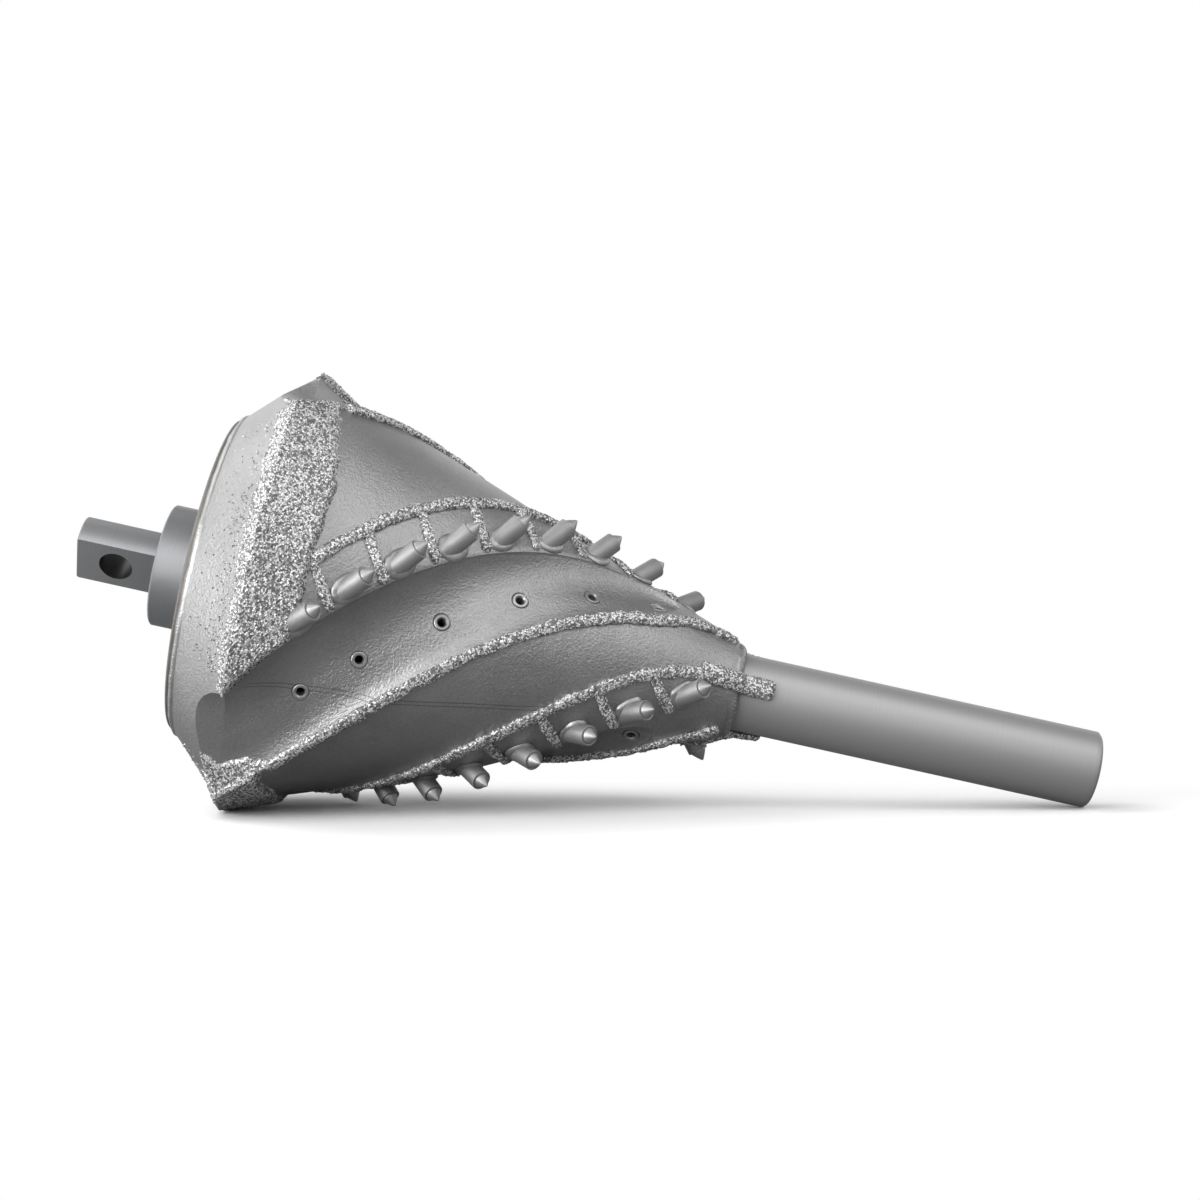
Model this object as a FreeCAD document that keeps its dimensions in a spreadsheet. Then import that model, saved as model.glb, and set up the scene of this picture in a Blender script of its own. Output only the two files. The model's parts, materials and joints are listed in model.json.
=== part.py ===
# Button reamer for horizontal drilling: a cast cone with three helical flutes, rows of
# inserted cutters, tungsten hardfacing beads, a drive pipe in front and a towing eye behind.
# Millimetres. The tool is worked out along its own axis: X runs from the gauge plane
# (largest diameter, X = 0) to the pipe, and angles grow upwards from the near side (-Y).
import FreeCAD
import Part
import Sketcher
import math
import os
from FreeCAD import Placement, Rotation, Vector

os.makedirs("parts", exist_ok=True)
doc = FreeCAD.newDocument("button_reamer")

# Driving dimensions
SIZES = {
    # casting
    "gauge_radius": 223.5,
    "nose_radius": 51.0,
    "nose_reach": 477.0,
    "rear_reach": 57.5,
    "rear_rim_radius": 168.0,
    "rear_mouth_radius": 145.0,
    "chamber_gauge_radius": 166.0,
    "chamber_front_radius": 50.5,
    "chamber_reach": 405.0,
    "lobe_count": 3,
    # flutes
    "edge_start": -24.2,
    "edge_turn": 0.2745,
    "flute_arc": 41.0,
    "flute_reach": 408.0,
    "flute_runout": 52.0,
    "flute_depth_rear": 27.0,
    "flute_depth_front": 10.0,
    "ridge_lift": 8.0,
    "ridge_lift_from": 385.0,
    "ridge_lift_length": 50.0,
    # rows of cutters
    "row_start": -6.5,
    "row_straight_from": 380.0,
    "row_straight_to": 455.0,
    "row_turn": 0.3265,
    "cutters_per_row": 9,
    "first_cutter": 51.0,
    "cutter_pitch": 56.8,
    "cutter_edge_gap": 17.0,
    "cutter_radius": 10.4,
    "cutter_exposed": 25.5,
    "cutter_sunk": 14.0,
    "cutter_shoulder": 2.0,
    "cutter_crown_radius": 9.0,
    "cutter_lean": 45.3,
    "cutter_heading": 55.0,
    "tip_radius": 8.6,
    "tip_length": 12.5,
    "tip_flat": 1.2,
    "tip_shank_radius": 5.0,
    "tip_shank_length": 11.0,
    "fit_clearance": 0.1,
    # weld metal and hardfacing
    "bead_width": 12.5,
    "ridge_bead_inset": 2.5,
    "bead_height": 5.5,
    "divider_width": 10.5,
    "divider_height": 4.5,
    "divider_lead": 9.0,
    "divider_sweep": 28.0,
    "divider_edge_gap": 3.0,
    "bead_sink": 4.0,
    "bead_lap": 4.0,
    "bead_nose_gap": 3.0,
    "row_bead_gap": 8.0,
    "pad_length": 49.0,
    "pad_thickness": 7.0,
    "pad_bevel": 4.0,
    "puddle_radius": 17.0,
    "puddle_crown_radius": 12.5,
    "puddle_height": 4.0,
    "fin_width": 17.5,
    "fin_height": 7.5,
    "fin_back": 4.5,
    "fin_end_drop": 1.0,
    "fin_start": 442.0,
    "fin_full_from": 465.0,
    "fin_nose_past": 480.0,
    "fin_nose_height": 3.5,
    "fin_pipe_from": 493.0,
    "fin_reach": 518.0,
    "nose_weld_leg": 9.5,
    "nose_weld_throat": 5.7,
    "rear_weld_leg": 6.0,
    "rear_weld_throat": 3.9,
    # mud nozzles
    "nozzle_count": 6,
    "rear_nozzle": 66.0,
    "second_nozzle": 114.0,
    "last_nozzle": 388.0,
    "nozzle_place": 0.56,
    "nozzle_radius": 7.8,
    "nozzle_hole_radius": 4.0,
    "nozzle_length": 12.0,
    "nozzle_proud": 0.8,
    "nozzle_feed_radius": 4.8,
    # rear plate and towing eye
    "plate_radius": 161.5,
    "plate_thickness": 10.0,
    "spigot_radius": 30.0,
    "spigot_length": 16.0,
    "collar_radius": 62.5,
    "collar_length": 46.0,
    "edge_break": 1.5,
    "tang_radius": 31.75,
    "tang_length": 85.0,
    "tang_thickness": 35.0,
    "tang_roll": 43.0,
    "pin_hole_radius": 17.0,
    "pin_hole_edge": 40.0,
    # drive pipe
    "pipe_radius": 39.7,
    "pipe_end": 860.0,
    "pipe_inset": 5.0,
    "pipe_bore_radius": 17.0,
    "box_counterbore_radius": 34.15,
    "box_counterbore_depth": 15.9,
    "box_mouth_radius": 31.7,
    "box_root_radius": 22.4,
    "box_depth": 92.0,
    "pipe_bevel": 2.5,
}

sheet = doc.addObject("Spreadsheet::Sheet", "Sizes")
for row, (alias, value) in enumerate(SIZES.items(), start=1):
    sheet.set("A%d" % row, alias)
    sheet.set("B%d" % row, str(value))
    sheet.setAlias("B%d" % row, alias)
doc.recompute()


def size(alias):
    """The number in a named cell."""
    return float(sheet.get(alias))


def cell(alias):
    """The name of a cell as an expression."""
    return "Sizes." + alias


LOBES = "abc"
AXIS = Vector(1, 0, 0)
CONE_SLOPE = "(Sizes.gauge_radius - Sizes.nose_radius) / Sizes.nose_reach"
cone_slope = (size("gauge_radius") - size("nose_radius")) / size("nose_reach")
cone_angle = math.atan(cone_slope)
lobe_arc = 360.0 / size("lobe_count")


# Curves on the cone
def cone_radius(x):
    return size("gauge_radius") - cone_slope * x


def on_tool(x, radius, angle):
    """The point at a station, radius and angle; 0 degrees is the near side, 90 is up."""
    turn = math.radians(angle)
    return Vector(x, -radius * math.cos(turn), radius * math.sin(turn))


def edge_angle(x):
    """The flute edge that carries the cutters, a steady helix."""
    return size("edge_start") + size("edge_turn") * x


def ease(x, start, length):
    """Smooth step from 0 to 1."""
    t = min(max((x - start) / length, 0.0), 1.0)
    return t * t * (3 - 2 * t)


def ridge_angle(x):
    """The other edge of the flute, which rises a little past the end of the flute."""
    lift = size("ridge_lift") * ease(x, size("ridge_lift_from"), size("ridge_lift_length"))
    return edge_angle(x) - size("flute_arc") + lift


def row_angle(x):
    """The bead above the cutters: a helix that turns straight before the nose."""
    bend = size("row_straight_from")
    span = size("row_straight_to") - bend
    past = min(max(x - bend, 0.0), span)
    return size("row_start") + size("row_turn") * (min(x, bend) + past - past * past / (2 * span))


def cone_frame(x, angle):
    """Point, outward normal, forward slope and upward tangent on the cone."""
    point = on_tool(x, cone_radius(x), angle)
    outward = on_tool(0, 1, angle)
    normal = AXIS * math.sin(cone_angle) + outward * math.cos(cone_angle)
    forward = AXIS * math.cos(cone_angle) - outward * math.sin(cone_angle)
    upward = on_tool(0, 1, angle + 90)
    return point, normal, forward, upward


# Document helpers
def bind(obj, **expressions):
    for name, expression in expressions.items():
        obj.setExpression(name, expression)
    return obj


def origin_axis(body, role):
    return [axis for axis in body.Origin.OriginFeatures if axis.Role == role][0]


def turned(name, profile):
    """A piece turned about X. The profile lists station and radius as expressions."""
    body = doc.addObject("PartDesign::Body", name)
    body.Label = name
    sketch = body.newObject("Sketcher::SketchObject", name + "_profile")
    planes = {plane.Role: plane for plane in body.Origin.OriginFeatures}
    sketch.AttachmentSupport = (planes["XZ_Plane"], [""])
    sketch.MapMode = "FlatFace"
    corners = [[float(sketch.evalExpression(text)) for text in corner] for corner in profile]
    count = len(corners)
    for index, (x, radius) in enumerate(corners):
        next_x, next_radius = corners[(index + 1) % count]
        sketch.addGeometry(Part.LineSegment(Vector(x, radius, 0), Vector(next_x, next_radius, 0)))
    for index in range(count):
        sketch.addConstraint(Sketcher.Constraint("Coincident", index, 2, (index + 1) % count, 1))
    for index, corner in enumerate(profile):
        for kind, text, value in zip(("DistanceX", "DistanceY"), corner, corners[index]):
            number = sketch.addConstraint(Sketcher.Constraint(kind, -1, 1, index, 1, value))
            if text != "0":
                sketch.setExpression("Constraints[%d]" % number, text)
    revolution = body.newObject("PartDesign::Revolution", name + "_turned")
    revolution.Profile = sketch
    revolution.ReferenceAxis = (origin_axis(body, "X_Axis"), [""])
    revolution.Angle = 360.0
    body.Tip = revolution
    return body


def made(name, shape):
    """A piece whose form is worked out in code."""
    piece = doc.addObject("Part::Feature", name)
    piece.Label = name
    piece.Shape = shape
    return piece


def cylinder(name, radius, height, place):
    piece = doc.addObject("Part::Cylinder", name)
    piece.Label = name
    bind(piece, Radius=radius, Height=height)
    piece.Placement = place
    return piece


def cone(name, base_radius, top_radius, height, place):
    piece = doc.addObject("Part::Cone", name)
    piece.Label = name
    bind(piece, Radius1=base_radius, Radius2=top_radius, Height=height)
    piece.Placement = place
    return piece


def joined(kind, name, base, tool):
    """A boolean of two objects: Part::Cut or Part::Fuse."""
    piece = doc.addObject(kind, name)
    piece.Label = name
    piece.Base = base
    piece.Tool = tool
    piece.Refine = False
    return piece


def grouped(name, pieces):
    piece = doc.addObject("Part::Compound", name)
    piece.Label = name
    piece.Links = pieces
    return piece


def along(point, direction):
    """The placement that stands a Z-built piece on a point, along a direction."""
    return Placement(point, Rotation(Vector(0, 0, 1), direction))


def lobe_turn(number):
    return Placement(Vector(), Rotation(AXIS, lobe_arc * number))


# Casting blank: rear cone, gauge plane, front cone, and the mud chamber inside
casting_blank = turned("casting_blank", [
    ("-Sizes.rear_reach", cell("rear_rim_radius")),
    ("0", cell("gauge_radius")),
    (cell("nose_reach"), cell("nose_radius")),
    (cell("nose_reach"), "Sizes.pipe_radius + Sizes.fit_clearance"),
    (cell("chamber_reach"), "Sizes.pipe_radius + Sizes.fit_clearance"),
    (cell("chamber_reach"), cell("chamber_front_radius")),
    ("0", cell("chamber_gauge_radius")),
    ("-Sizes.rear_reach", cell("rear_mouth_radius")),
])

# Flute section: a lopsided bowl whose points crowd towards the cutter edge. It starts just
# outside that edge and ends past the ridge, so that it cuts clear of the cone at both sides.
FLUTE_POINTS = 7
FLUTE_CROWDING = 1.8
FLUTE_BEFORE = (-0.02, -0.4)
FLUTE_BEYOND = 1.12
FLUTE_SKEW = 0.716
FLUTE_MIDDLE = 0.45
FLUTE_CLEAR = 24.0
RUNOUT_END = 0.12
HELIX_SECTIONS = 13
RUNOUT_SECTIONS = 5


def spread(start, end, count):
    return [start + (end - start) * number / (count - 1) for number in range(count)]


def flute_share(across):
    """Share of the full depth: a parabola pushed towards the cutter edge."""
    return 1 - (2 * across ** FLUTE_SKEW - 1) ** 2


def flute_fade(x):
    """1 along the flute, falling like a quarter circle over the run-out."""
    past = (x - (size("flute_reach") - size("flute_runout"))) / size("flute_runout")
    past = min(max(past, 0.0), 1.0)
    return max(math.sqrt(1 - past * past), RUNOUT_END)


def flute_depth(x):
    fall = (size("flute_depth_rear") - size("flute_depth_front")) / size("flute_reach")
    return (size("flute_depth_rear") - fall * x) * flute_fade(x)


def flute_point(x, across, depth_share):
    width = FLUTE_MIDDLE + (across - FLUTE_MIDDLE) * flute_fade(x)
    angle = edge_angle(x) - size("flute_arc") * width
    return on_tool(x, cone_radius(x) - flute_depth(x) * depth_share, angle)


def flute_wire(x):
    """The section of the flute at a station, closed well outside the cone."""
    places = [share ** FLUTE_CROWDING for share in spread(0.0, 1.0, FLUTE_POINTS + 1)]
    points = [flute_point(x, *FLUTE_BEFORE)]
    points += [flute_point(x, place, flute_share(place)) for place in places + [FLUTE_BEYOND]]
    floor = Part.BSplineCurve()
    floor.interpolate(points)
    middle_angle = edge_angle(x) - size("flute_arc") * FLUTE_MIDDLE
    outside = on_tool(x, cone_radius(x) + FLUTE_CLEAR, middle_angle)
    lid = Part.Arc(points[-1], outside, points[0])
    return Part.Wire([floor.toShape(), lid.toShape()])


runout_start = size("flute_reach") - size("flute_runout")
helix_stations = spread(0.0, runout_start, HELIX_SECTIONS)
runout_stations = [runout_start + size("flute_runout") * math.sin(turn)
                   for turn in spread(0.0, math.pi / 2, RUNOUT_SECTIONS + 1)[1:]]
flute_front = Part.makeLoft([flute_wire(x) for x in helix_stations + runout_stations], True, False)
rear_run = Vector(-size("rear_reach") - size("pad_length"), 0, 0)
flute_rear = Part.Face(flute_wire(0.0)).extrude(rear_run)
flute = flute_front.fuse(flute_rear)
flutes = made("flutes", Part.makeCompound([
    flute.transformed(lobe_turn(number).toMatrix()) for number in range(len(LOBES))]))
doc.recompute()
fluted_blank = joined("Part::Cut", "fluted_blank", casting_blank, flutes)
doc.recompute()

# Seats of the cutters, evenly spaced along the edge of each flute
STEP = 0.5
PLACE_STEP = 0.02


def edge_path(x, distance):
    """The station reached by going a distance along the cutter edge."""
    travelled = 0.0
    while travelled < distance:
        turn = math.radians(size("edge_turn")) * cone_radius(x)
        travelled += STEP * math.sqrt(1 + cone_slope ** 2 + turn ** 2)
        x += STEP
    return x


def cutter_seats(lobe_number):
    """Station, seat point and axis of each cutter of a row, in the lobe's own frame."""
    stagger = size("cutter_pitch") * lobe_number / len(LOBES)
    x = edge_path(size("first_cutter"), stagger)
    seats = []
    for number in range(int(size("cutters_per_row"))):
        lift = math.degrees(size("cutter_edge_gap") / cone_radius(x))
        point, normal, forward, upward = cone_frame(x, edge_angle(x) + lift)
        lean = math.radians(size("cutter_lean"))
        heading = math.radians(size("cutter_heading"))
        sideways = forward * math.cos(heading) + upward * math.sin(heading)
        axis = normal * math.cos(lean) + sideways * math.sin(lean)
        seats.append((x, point, axis, normal))
        x = edge_path(x, size("cutter_pitch"))
    return seats


row_seats = [cutter_seats(number) for number in range(len(LOBES))]


def nozzle_seats():
    """Floor point and outward normal of each nozzle of a flute."""
    seats = []
    count = int(size("nozzle_count"))
    place = size("nozzle_place")
    share = flute_share(place)
    stations = spread(size("second_nozzle"), size("last_nozzle"), count - 1)
    for x in [size("rear_nozzle")] + stations:
        point = flute_point(x, place, share)
        along_flute = flute_point(x + STEP, place, share) - point
        beside = place - PLACE_STEP
        across_flute = flute_point(x, beside, flute_share(beside)) - point
        normal = along_flute.cross(across_flute)
        if normal.dot(Vector(0, point.y, point.z)) < 0:
            normal = normal * -1
        normal.normalize()
        seats.append((point, normal))
    return seats


# Drilled sockets of the cutters, and stepped holes of the nozzles
socket_drills = []
for number, seats in enumerate(row_seats):
    turn = lobe_turn(number).toMatrix()
    for _, point, axis, _ in seats:
        bottom = point - axis * size("cutter_sunk")
        drill = Part.makeCylinder(size("cutter_radius") + size("fit_clearance"),
                                  size("cutter_sunk") + size("cutter_exposed"), bottom, axis)
        socket_drills.append(drill.transformed(turn))
nozzle_drills = []
for number in range(len(LOBES)):
    turn = lobe_turn(number).toMatrix()
    for point, normal in nozzle_seats():
        depth = size("nozzle_length") - size("nozzle_proud")
        seat_drill = Part.makeCylinder(size("nozzle_radius") + size("fit_clearance"),
                                       size("nozzle_length") + size("pad_length"),
                                       point - normal * depth, normal)
        feed_drill = Part.makeCylinder(size("nozzle_feed_radius"), size("pad_length"),
                                       point - normal * size("pad_length"), normal)
        nozzle_drills.append(seat_drill.fuse(feed_drill).transformed(turn))
drills = made("drills", Part.makeCompound(socket_drills + nozzle_drills))
reamer_body = joined("Part::Cut", "reamer_body", fluted_blank, drills)
doc.recompute()

# Cutters: steel holders with a brazed conical tip
kept = {"reamer_body": reamer_body}
for number, seats in enumerate(row_seats):
    tips = []
    for count, (_, point, axis, _) in enumerate(seats, start=1):
        name = "cutter_%s%d" % (LOBES[number], count)
        bottom = point - axis * size("cutter_sunk")
        top = point + axis * size("cutter_exposed")
        shoulder = top - axis * size("cutter_shoulder")
        bore_bottom = top - axis * (size("tip_shank_length") + size("fit_clearance"))
        turn = lobe_turn(number)
        shank = cylinder(name + "_shank", cell("cutter_radius"),
                         "Sizes.cutter_sunk + Sizes.cutter_exposed - Sizes.cutter_shoulder",
                         turn * along(bottom, axis))
        bevel = cone(name + "_shoulder", cell("cutter_radius"),
                     cell("cutter_crown_radius"), cell("cutter_shoulder"),
                     turn * along(shoulder, axis))
        solid = joined("Part::Fuse", name + "_solid", shank, bevel)
        bore = cylinder(name + "_bore", "Sizes.tip_shank_radius + Sizes.fit_clearance",
                        "Sizes.tip_shank_length + Sizes.tip_length",
                        turn * along(bore_bottom, axis))
        kept[name] = joined("Part::Cut", name, solid, bore)
        point_cone = cone(name + "_point", cell("tip_radius"), cell("tip_flat"),
                          cell("tip_length"), turn * along(top, axis))
        tip_shank = cylinder(name + "_tip_shank", cell("tip_shank_radius"),
                             cell("tip_shank_length"),
                             turn * along(top - axis * size("tip_shank_length"), axis))
        tips.append(joined("Part::Fuse", name + "_tip", point_cone, tip_shank))
    kept["tips_" + LOBES[number]] = grouped("tips_" + LOBES[number], tips)

# Mud nozzles in the floor of each flute
for number in range(len(LOBES)):
    rings = []
    for count, (point, normal) in enumerate(nozzle_seats(), start=1):
        name = "nozzle_%s%d" % (LOBES[number], count)
        depth = size("nozzle_length") - size("nozzle_proud")
        place = lobe_turn(number) * along(point - normal * depth, normal)
        ring = cylinder(name + "_ring", cell("nozzle_radius"), cell("nozzle_length"), place)
        hole = cylinder(name + "_hole", cell("nozzle_hole_radius"), cell("nozzle_length"), place)
        rings.append(joined("Part::Cut", name, ring, hole))
    kept["nozzles_" + LOBES[number]] = grouped("nozzles_" + LOBES[number], rings)
doc.recompute()

# Weld metal: beads with a round back, sunk below the cone and then trimmed by it
RIDGE_SECTIONS = 15
ROW_SECTIONS = 14
DIVIDER_SECTIONS = 4


def bead(path, width, height):
    """A loft of round-backed sections along a path of points and surface normals."""
    sections = []
    sink = size("bead_sink")
    for index, (point, normal) in enumerate(path):
        before = path[max(index - 1, 0)][0]
        after = path[min(index + 1, len(path) - 1)][0]
        side = (after - before).cross(normal)
        side.normalize()
        left = point - side * (width / 2)
        right = point + side * (width / 2)
        back = Part.Arc(left, point + normal * height, right)
        wall_right = Part.LineSegment(right, right - normal * sink)
        base = Part.LineSegment(right - normal * sink, left - normal * sink)
        wall_left = Part.LineSegment(left - normal * sink, left)
        sections.append(Part.Wire([line.toShape() for line in (back, wall_right, base, wall_left)]))
    return Part.makeLoft(sections, True, False)


def cone_path(stations, angle_at):
    path = []
    for x in stations:
        point, normal, _, _ = cone_frame(x, angle_at(x))
        path.append((point, normal))
    return path


def ridge_bead_angle(x):
    inset = math.degrees(size("ridge_bead_inset") / cone_radius(x))
    return ridge_angle(x) + lobe_arc - inset


plain_cone = Part.makeCone(cone_radius(0), cone_radius(size("nose_reach")), size("nose_reach"),
                           Vector(), AXIS)
ridge_stations = spread(size("pad_length") - size("bead_lap"),
                        size("nose_reach") - size("bead_nose_gap"), RIDGE_SECTIONS)
row_stations = spread(size("pad_length") + size("row_bead_gap"),
                      size("fin_start") + size("bead_lap"), ROW_SECTIONS)
pad_front = "Sizes.gauge_radius - (%s) * " % CONE_SLOPE
pad_ring = turned("pad_ring", [
    ("0", cell("gauge_radius")),
    ("0", "Sizes.gauge_radius + Sizes.pad_thickness"),
    (cell("pad_length"), pad_front + "Sizes.pad_length + Sizes.pad_thickness"),
    ("Sizes.pad_length + Sizes.pad_bevel",
     pad_front + "(Sizes.pad_length + Sizes.pad_bevel)"),
])
doc.recompute()
pads = pad_ring.Shape.cut(flutes.Shape)


def lobe_pad():
    """The part of the hardfaced ring that lies on the first lobe."""
    middle = on_tool(size("pad_length") / 2, size("gauge_radius"),
                     (edge_angle(0) + ridge_angle(0) + lobe_arc) / 2)
    return min(pads.Solids, key=lambda solid: solid.CenterOfMass.distanceToPoint(middle))


raw_row_bead = bead(cone_path(row_stations, row_angle), size("bead_width"),
                    size("bead_height"))
beyond_fin_start = Part.makeBox(size("pipe_end"), size("pipe_end"), size("pipe_end"),
                                Vector(size("fin_start"), -size("pipe_end") / 2, 0))
row_bead = raw_row_bead.cut([plain_cone, beyond_fin_start])
ridge_bead = bead(cone_path(ridge_stations, ridge_bead_angle), size("bead_width"),
                  size("bead_height"))
ridge_bead = ridge_bead.cut([plain_cone, lobe_pad()])

# Fins that carry each row bead over the nose and on to the pipe
nose_weld = turned("nose_weld", [
    (cell("nose_reach"), "Sizes.pipe_radius + Sizes.fit_clearance"),
    (cell("nose_reach"), "Sizes.pipe_radius + Sizes.nose_weld_leg"),
    ("Sizes.nose_reach + Sizes.nose_weld_throat", "Sizes.pipe_radius + Sizes.nose_weld_throat"),
    ("Sizes.nose_reach + Sizes.nose_weld_leg", "Sizes.pipe_radius + Sizes.fit_clearance"),
])
doc.recompute()
kept["nose_weld"] = nose_weld


def fin():
    """A bar with a round back that follows the cone, crosses the weld and lies on the pipe."""
    pipe_crest = size("pipe_radius") + size("fin_height")
    crest = [(size("fin_start"), cone_radius(size("fin_start")) + size("bead_height")),
             (size("fin_full_from"), cone_radius(size("fin_full_from")) + size("fin_height")),
             (size("fin_nose_past"), size("nose_radius") + size("fin_nose_height")),
             (size("fin_pipe_from"), pipe_crest + size("fin_end_drop")),
             (size("fin_reach"), pipe_crest - size("fin_end_drop"))]
    outward = on_tool(0, 1, row_angle(size("nose_reach")))
    side = AXIS.cross(outward)
    sections = []
    for x, radius in crest:
        top = AXIS * x + outward * radius
        shoulder = outward * (radius - size("fin_back")) + AXIS * x
        root = outward * (size("pipe_radius") - size("bead_sink")) + AXIS * x
        half = side * (size("fin_width") / 2)
        back = Part.Arc(shoulder - half, top, shoulder + half)
        sections.append(Part.Wire([
            back.toShape(),
            Part.LineSegment(shoulder + half, root + half).toShape(),
            Part.LineSegment(root + half, root - half).toShape(),
            Part.LineSegment(root - half, shoulder - half).toShape()]))
    return Part.makeLoft(sections, True, True)


pipe_keepout = Part.makeCylinder(size("pipe_radius") + size("fit_clearance"),
                                 size("pipe_end"), Vector(), AXIS)
nose_fin = fin().cut([plain_cone, nose_weld.Shape, pipe_keepout])


def puddle(seat):
    """The weld ring at the foot of a cutter, before its trimming."""
    _, point, axis, normal = seat
    height = size("bead_sink") + size("puddle_height")
    return Part.makeCone(size("puddle_radius"), size("puddle_crown_radius"), height,
                         point - normal * size("bead_sink"), normal)


def cutter_keepout(seat):
    _, point, axis, _ = seat
    bottom = point - axis * size("cutter_sunk")
    return Part.makeCylinder(size("cutter_radius") + size("fit_clearance"),
                             size("cutter_sunk") + size("cutter_exposed"), bottom, axis)


def divider(next_seat):
    """A bead from the row bead down to the flute edge, just behind the next cutter."""
    low = next_seat[0] - size("divider_lead")
    high = low - size("divider_sweep")
    rim = math.degrees(size("divider_edge_gap") / cone_radius(low))
    low_angle = edge_angle(low) + rim
    path = []
    for share in spread(0.0, 1.0, DIVIDER_SECTIONS):
        x = low + (high - low) * share
        angle = low_angle + (row_angle(high) - low_angle) * share
        point, normal, _, _ = cone_frame(x, angle)
        path.append((point, normal))
    return bead(path, size("divider_width"), size("divider_height"))


for number, seats in enumerate(row_seats):
    letter = LOBES[number]
    turn = lobe_turn(number)
    puddles = [puddle(seat) for seat in seats]
    keepouts = [cutter_keepout(seat) for seat in seats]
    pad = lobe_pad().cut(puddles[:2] + keepouts[:2])
    dividers = []
    for index, seat in enumerate(seats[1:], start=1):
        trims = [plain_cone, raw_row_bead, puddles[index], puddles[index - 1]]
        if index == 1:
            trims.append(pad)
        dividers.append(divider(seat).cut(trims))
    welds = [ring.cut([plain_cone, keepout]) for ring, keepout in zip(puddles, keepouts)]
    shapes = {
        "gauge_pad_" + letter: pad,
        "row_bead_" + letter: row_bead.cut(puddles[-2:] + keepouts[-2:]),
        "ridge_bead_" + letter: ridge_bead,
        "divider_beads_" + letter: Part.makeCompound(dividers),
        "cutter_welds_" + letter: Part.makeCompound(welds),
        "nose_fin_" + letter: nose_fin.cut([puddles[-1], keepouts[-1]]),
    }
    for name, shape in shapes.items():
        kept[name] = made(name, shape)
        kept[name].Placement = turn

# Rear plate with its weld, and the towing eye
rear_weld = turned("rear_weld", [
    ("-Sizes.rear_reach", cell("plate_radius")),
    ("-Sizes.rear_reach", "Sizes.plate_radius + Sizes.rear_weld_leg"),
    ("-Sizes.rear_reach - Sizes.rear_weld_throat", "Sizes.plate_radius + Sizes.rear_weld_throat"),
    ("-Sizes.rear_reach - Sizes.rear_weld_leg", cell("plate_radius")),
])
kept["rear_weld"] = rear_weld
rear_plate = turned("rear_plate", [
    ("-Sizes.rear_reach", "Sizes.spigot_radius + Sizes.fit_clearance"),
    ("-Sizes.rear_reach", cell("plate_radius")),
    ("-Sizes.rear_reach - Sizes.plate_thickness + Sizes.edge_break", cell("plate_radius")),
    ("-Sizes.rear_reach - Sizes.plate_thickness", "Sizes.plate_radius - Sizes.edge_break"),
    ("-Sizes.rear_reach - Sizes.plate_thickness", "Sizes.spigot_radius + Sizes.fit_clearance"),
])
kept["rear_plate"] = rear_plate
PLATE_BACK = "-Sizes.rear_reach - Sizes.plate_thickness"
COLLAR_BACK = PLATE_BACK + " - Sizes.collar_length"
TANG_END = COLLAR_BACK + " - Sizes.tang_length"
eye_turned = turned("eye_turned", [
    (PLATE_BACK + " + Sizes.spigot_length", "0"),
    (PLATE_BACK + " + Sizes.spigot_length", cell("spigot_radius")),
    (PLATE_BACK, cell("spigot_radius")),
    (PLATE_BACK, cell("collar_radius")),
    (COLLAR_BACK + " + Sizes.edge_break", cell("collar_radius")),
    (COLLAR_BACK, "Sizes.collar_radius - Sizes.edge_break"),
    (COLLAR_BACK, cell("tang_radius")),
    (TANG_END + " + Sizes.edge_break", cell("tang_radius")),
    (TANG_END, "Sizes.tang_radius - Sizes.edge_break"),
    (TANG_END, "0"),
])
flats = []
for name, side in (("near", "Sizes.tang_thickness / 2"),
                   ("far", "-Sizes.tang_thickness / 2 - Sizes.tang_radius")):
    flat = doc.addObject("Part::Box", "flat_" + name)
    bind(flat, Length=cell("tang_length"), Width=cell("tang_radius"),
         Height="2 * Sizes.tang_radius")
    bind(flat, **{"Placement.Base.x": TANG_END, "Placement.Base.y": side,
                  "Placement.Base.z": "-Sizes.tang_radius"})
    flats.append(flat)
pin_hole = cylinder("pin_hole", cell("pin_hole_radius"), "2 * Sizes.tang_radius",
                    Placement(Vector(), Rotation(Vector(0, 0, 1), Vector(0, 1, 0))))
bind(pin_hole, **{"Placement.Base.x": TANG_END + " + Sizes.pin_hole_edge",
                  "Placement.Base.y": "-Sizes.tang_radius"})
eye_cuts = grouped("eye_cuts", flats + [pin_hole])
tow_eye = joined("Part::Cut", "tow_eye", eye_turned, eye_cuts)
tow_eye.Placement = Placement(Vector(), Rotation(AXIS, size("tang_roll")))
kept["tow_eye"] = tow_eye

# Drive pipe with a box end
drive_pipe = turned("drive_pipe", [
    ("Sizes.chamber_reach - Sizes.pipe_inset", cell("pipe_bore_radius")),
    ("Sizes.chamber_reach - Sizes.pipe_inset", cell("pipe_radius")),
    ("Sizes.pipe_end - Sizes.pipe_bevel", cell("pipe_radius")),
    (cell("pipe_end"), "Sizes.pipe_radius - Sizes.pipe_bevel"),
    (cell("pipe_end"), cell("box_counterbore_radius")),
    ("Sizes.pipe_end - Sizes.box_counterbore_depth", cell("box_counterbore_radius")),
    ("Sizes.pipe_end - Sizes.box_counterbore_depth", cell("box_mouth_radius")),
    ("Sizes.pipe_end - Sizes.box_depth", cell("box_root_radius")),
    ("Sizes.pipe_end - Sizes.box_depth", cell("pipe_bore_radius")),
])
kept["drive_pipe"] = drive_pipe
doc.recompute()

# Rest: the tool leans on its pipe end and on the cutters or the gauge pad below
ROLL_NEAR = -6.0
ROLL_RANGE = 12.0
ROLL_STEP = 0.05
PAD_TOUCHES = 80


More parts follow.
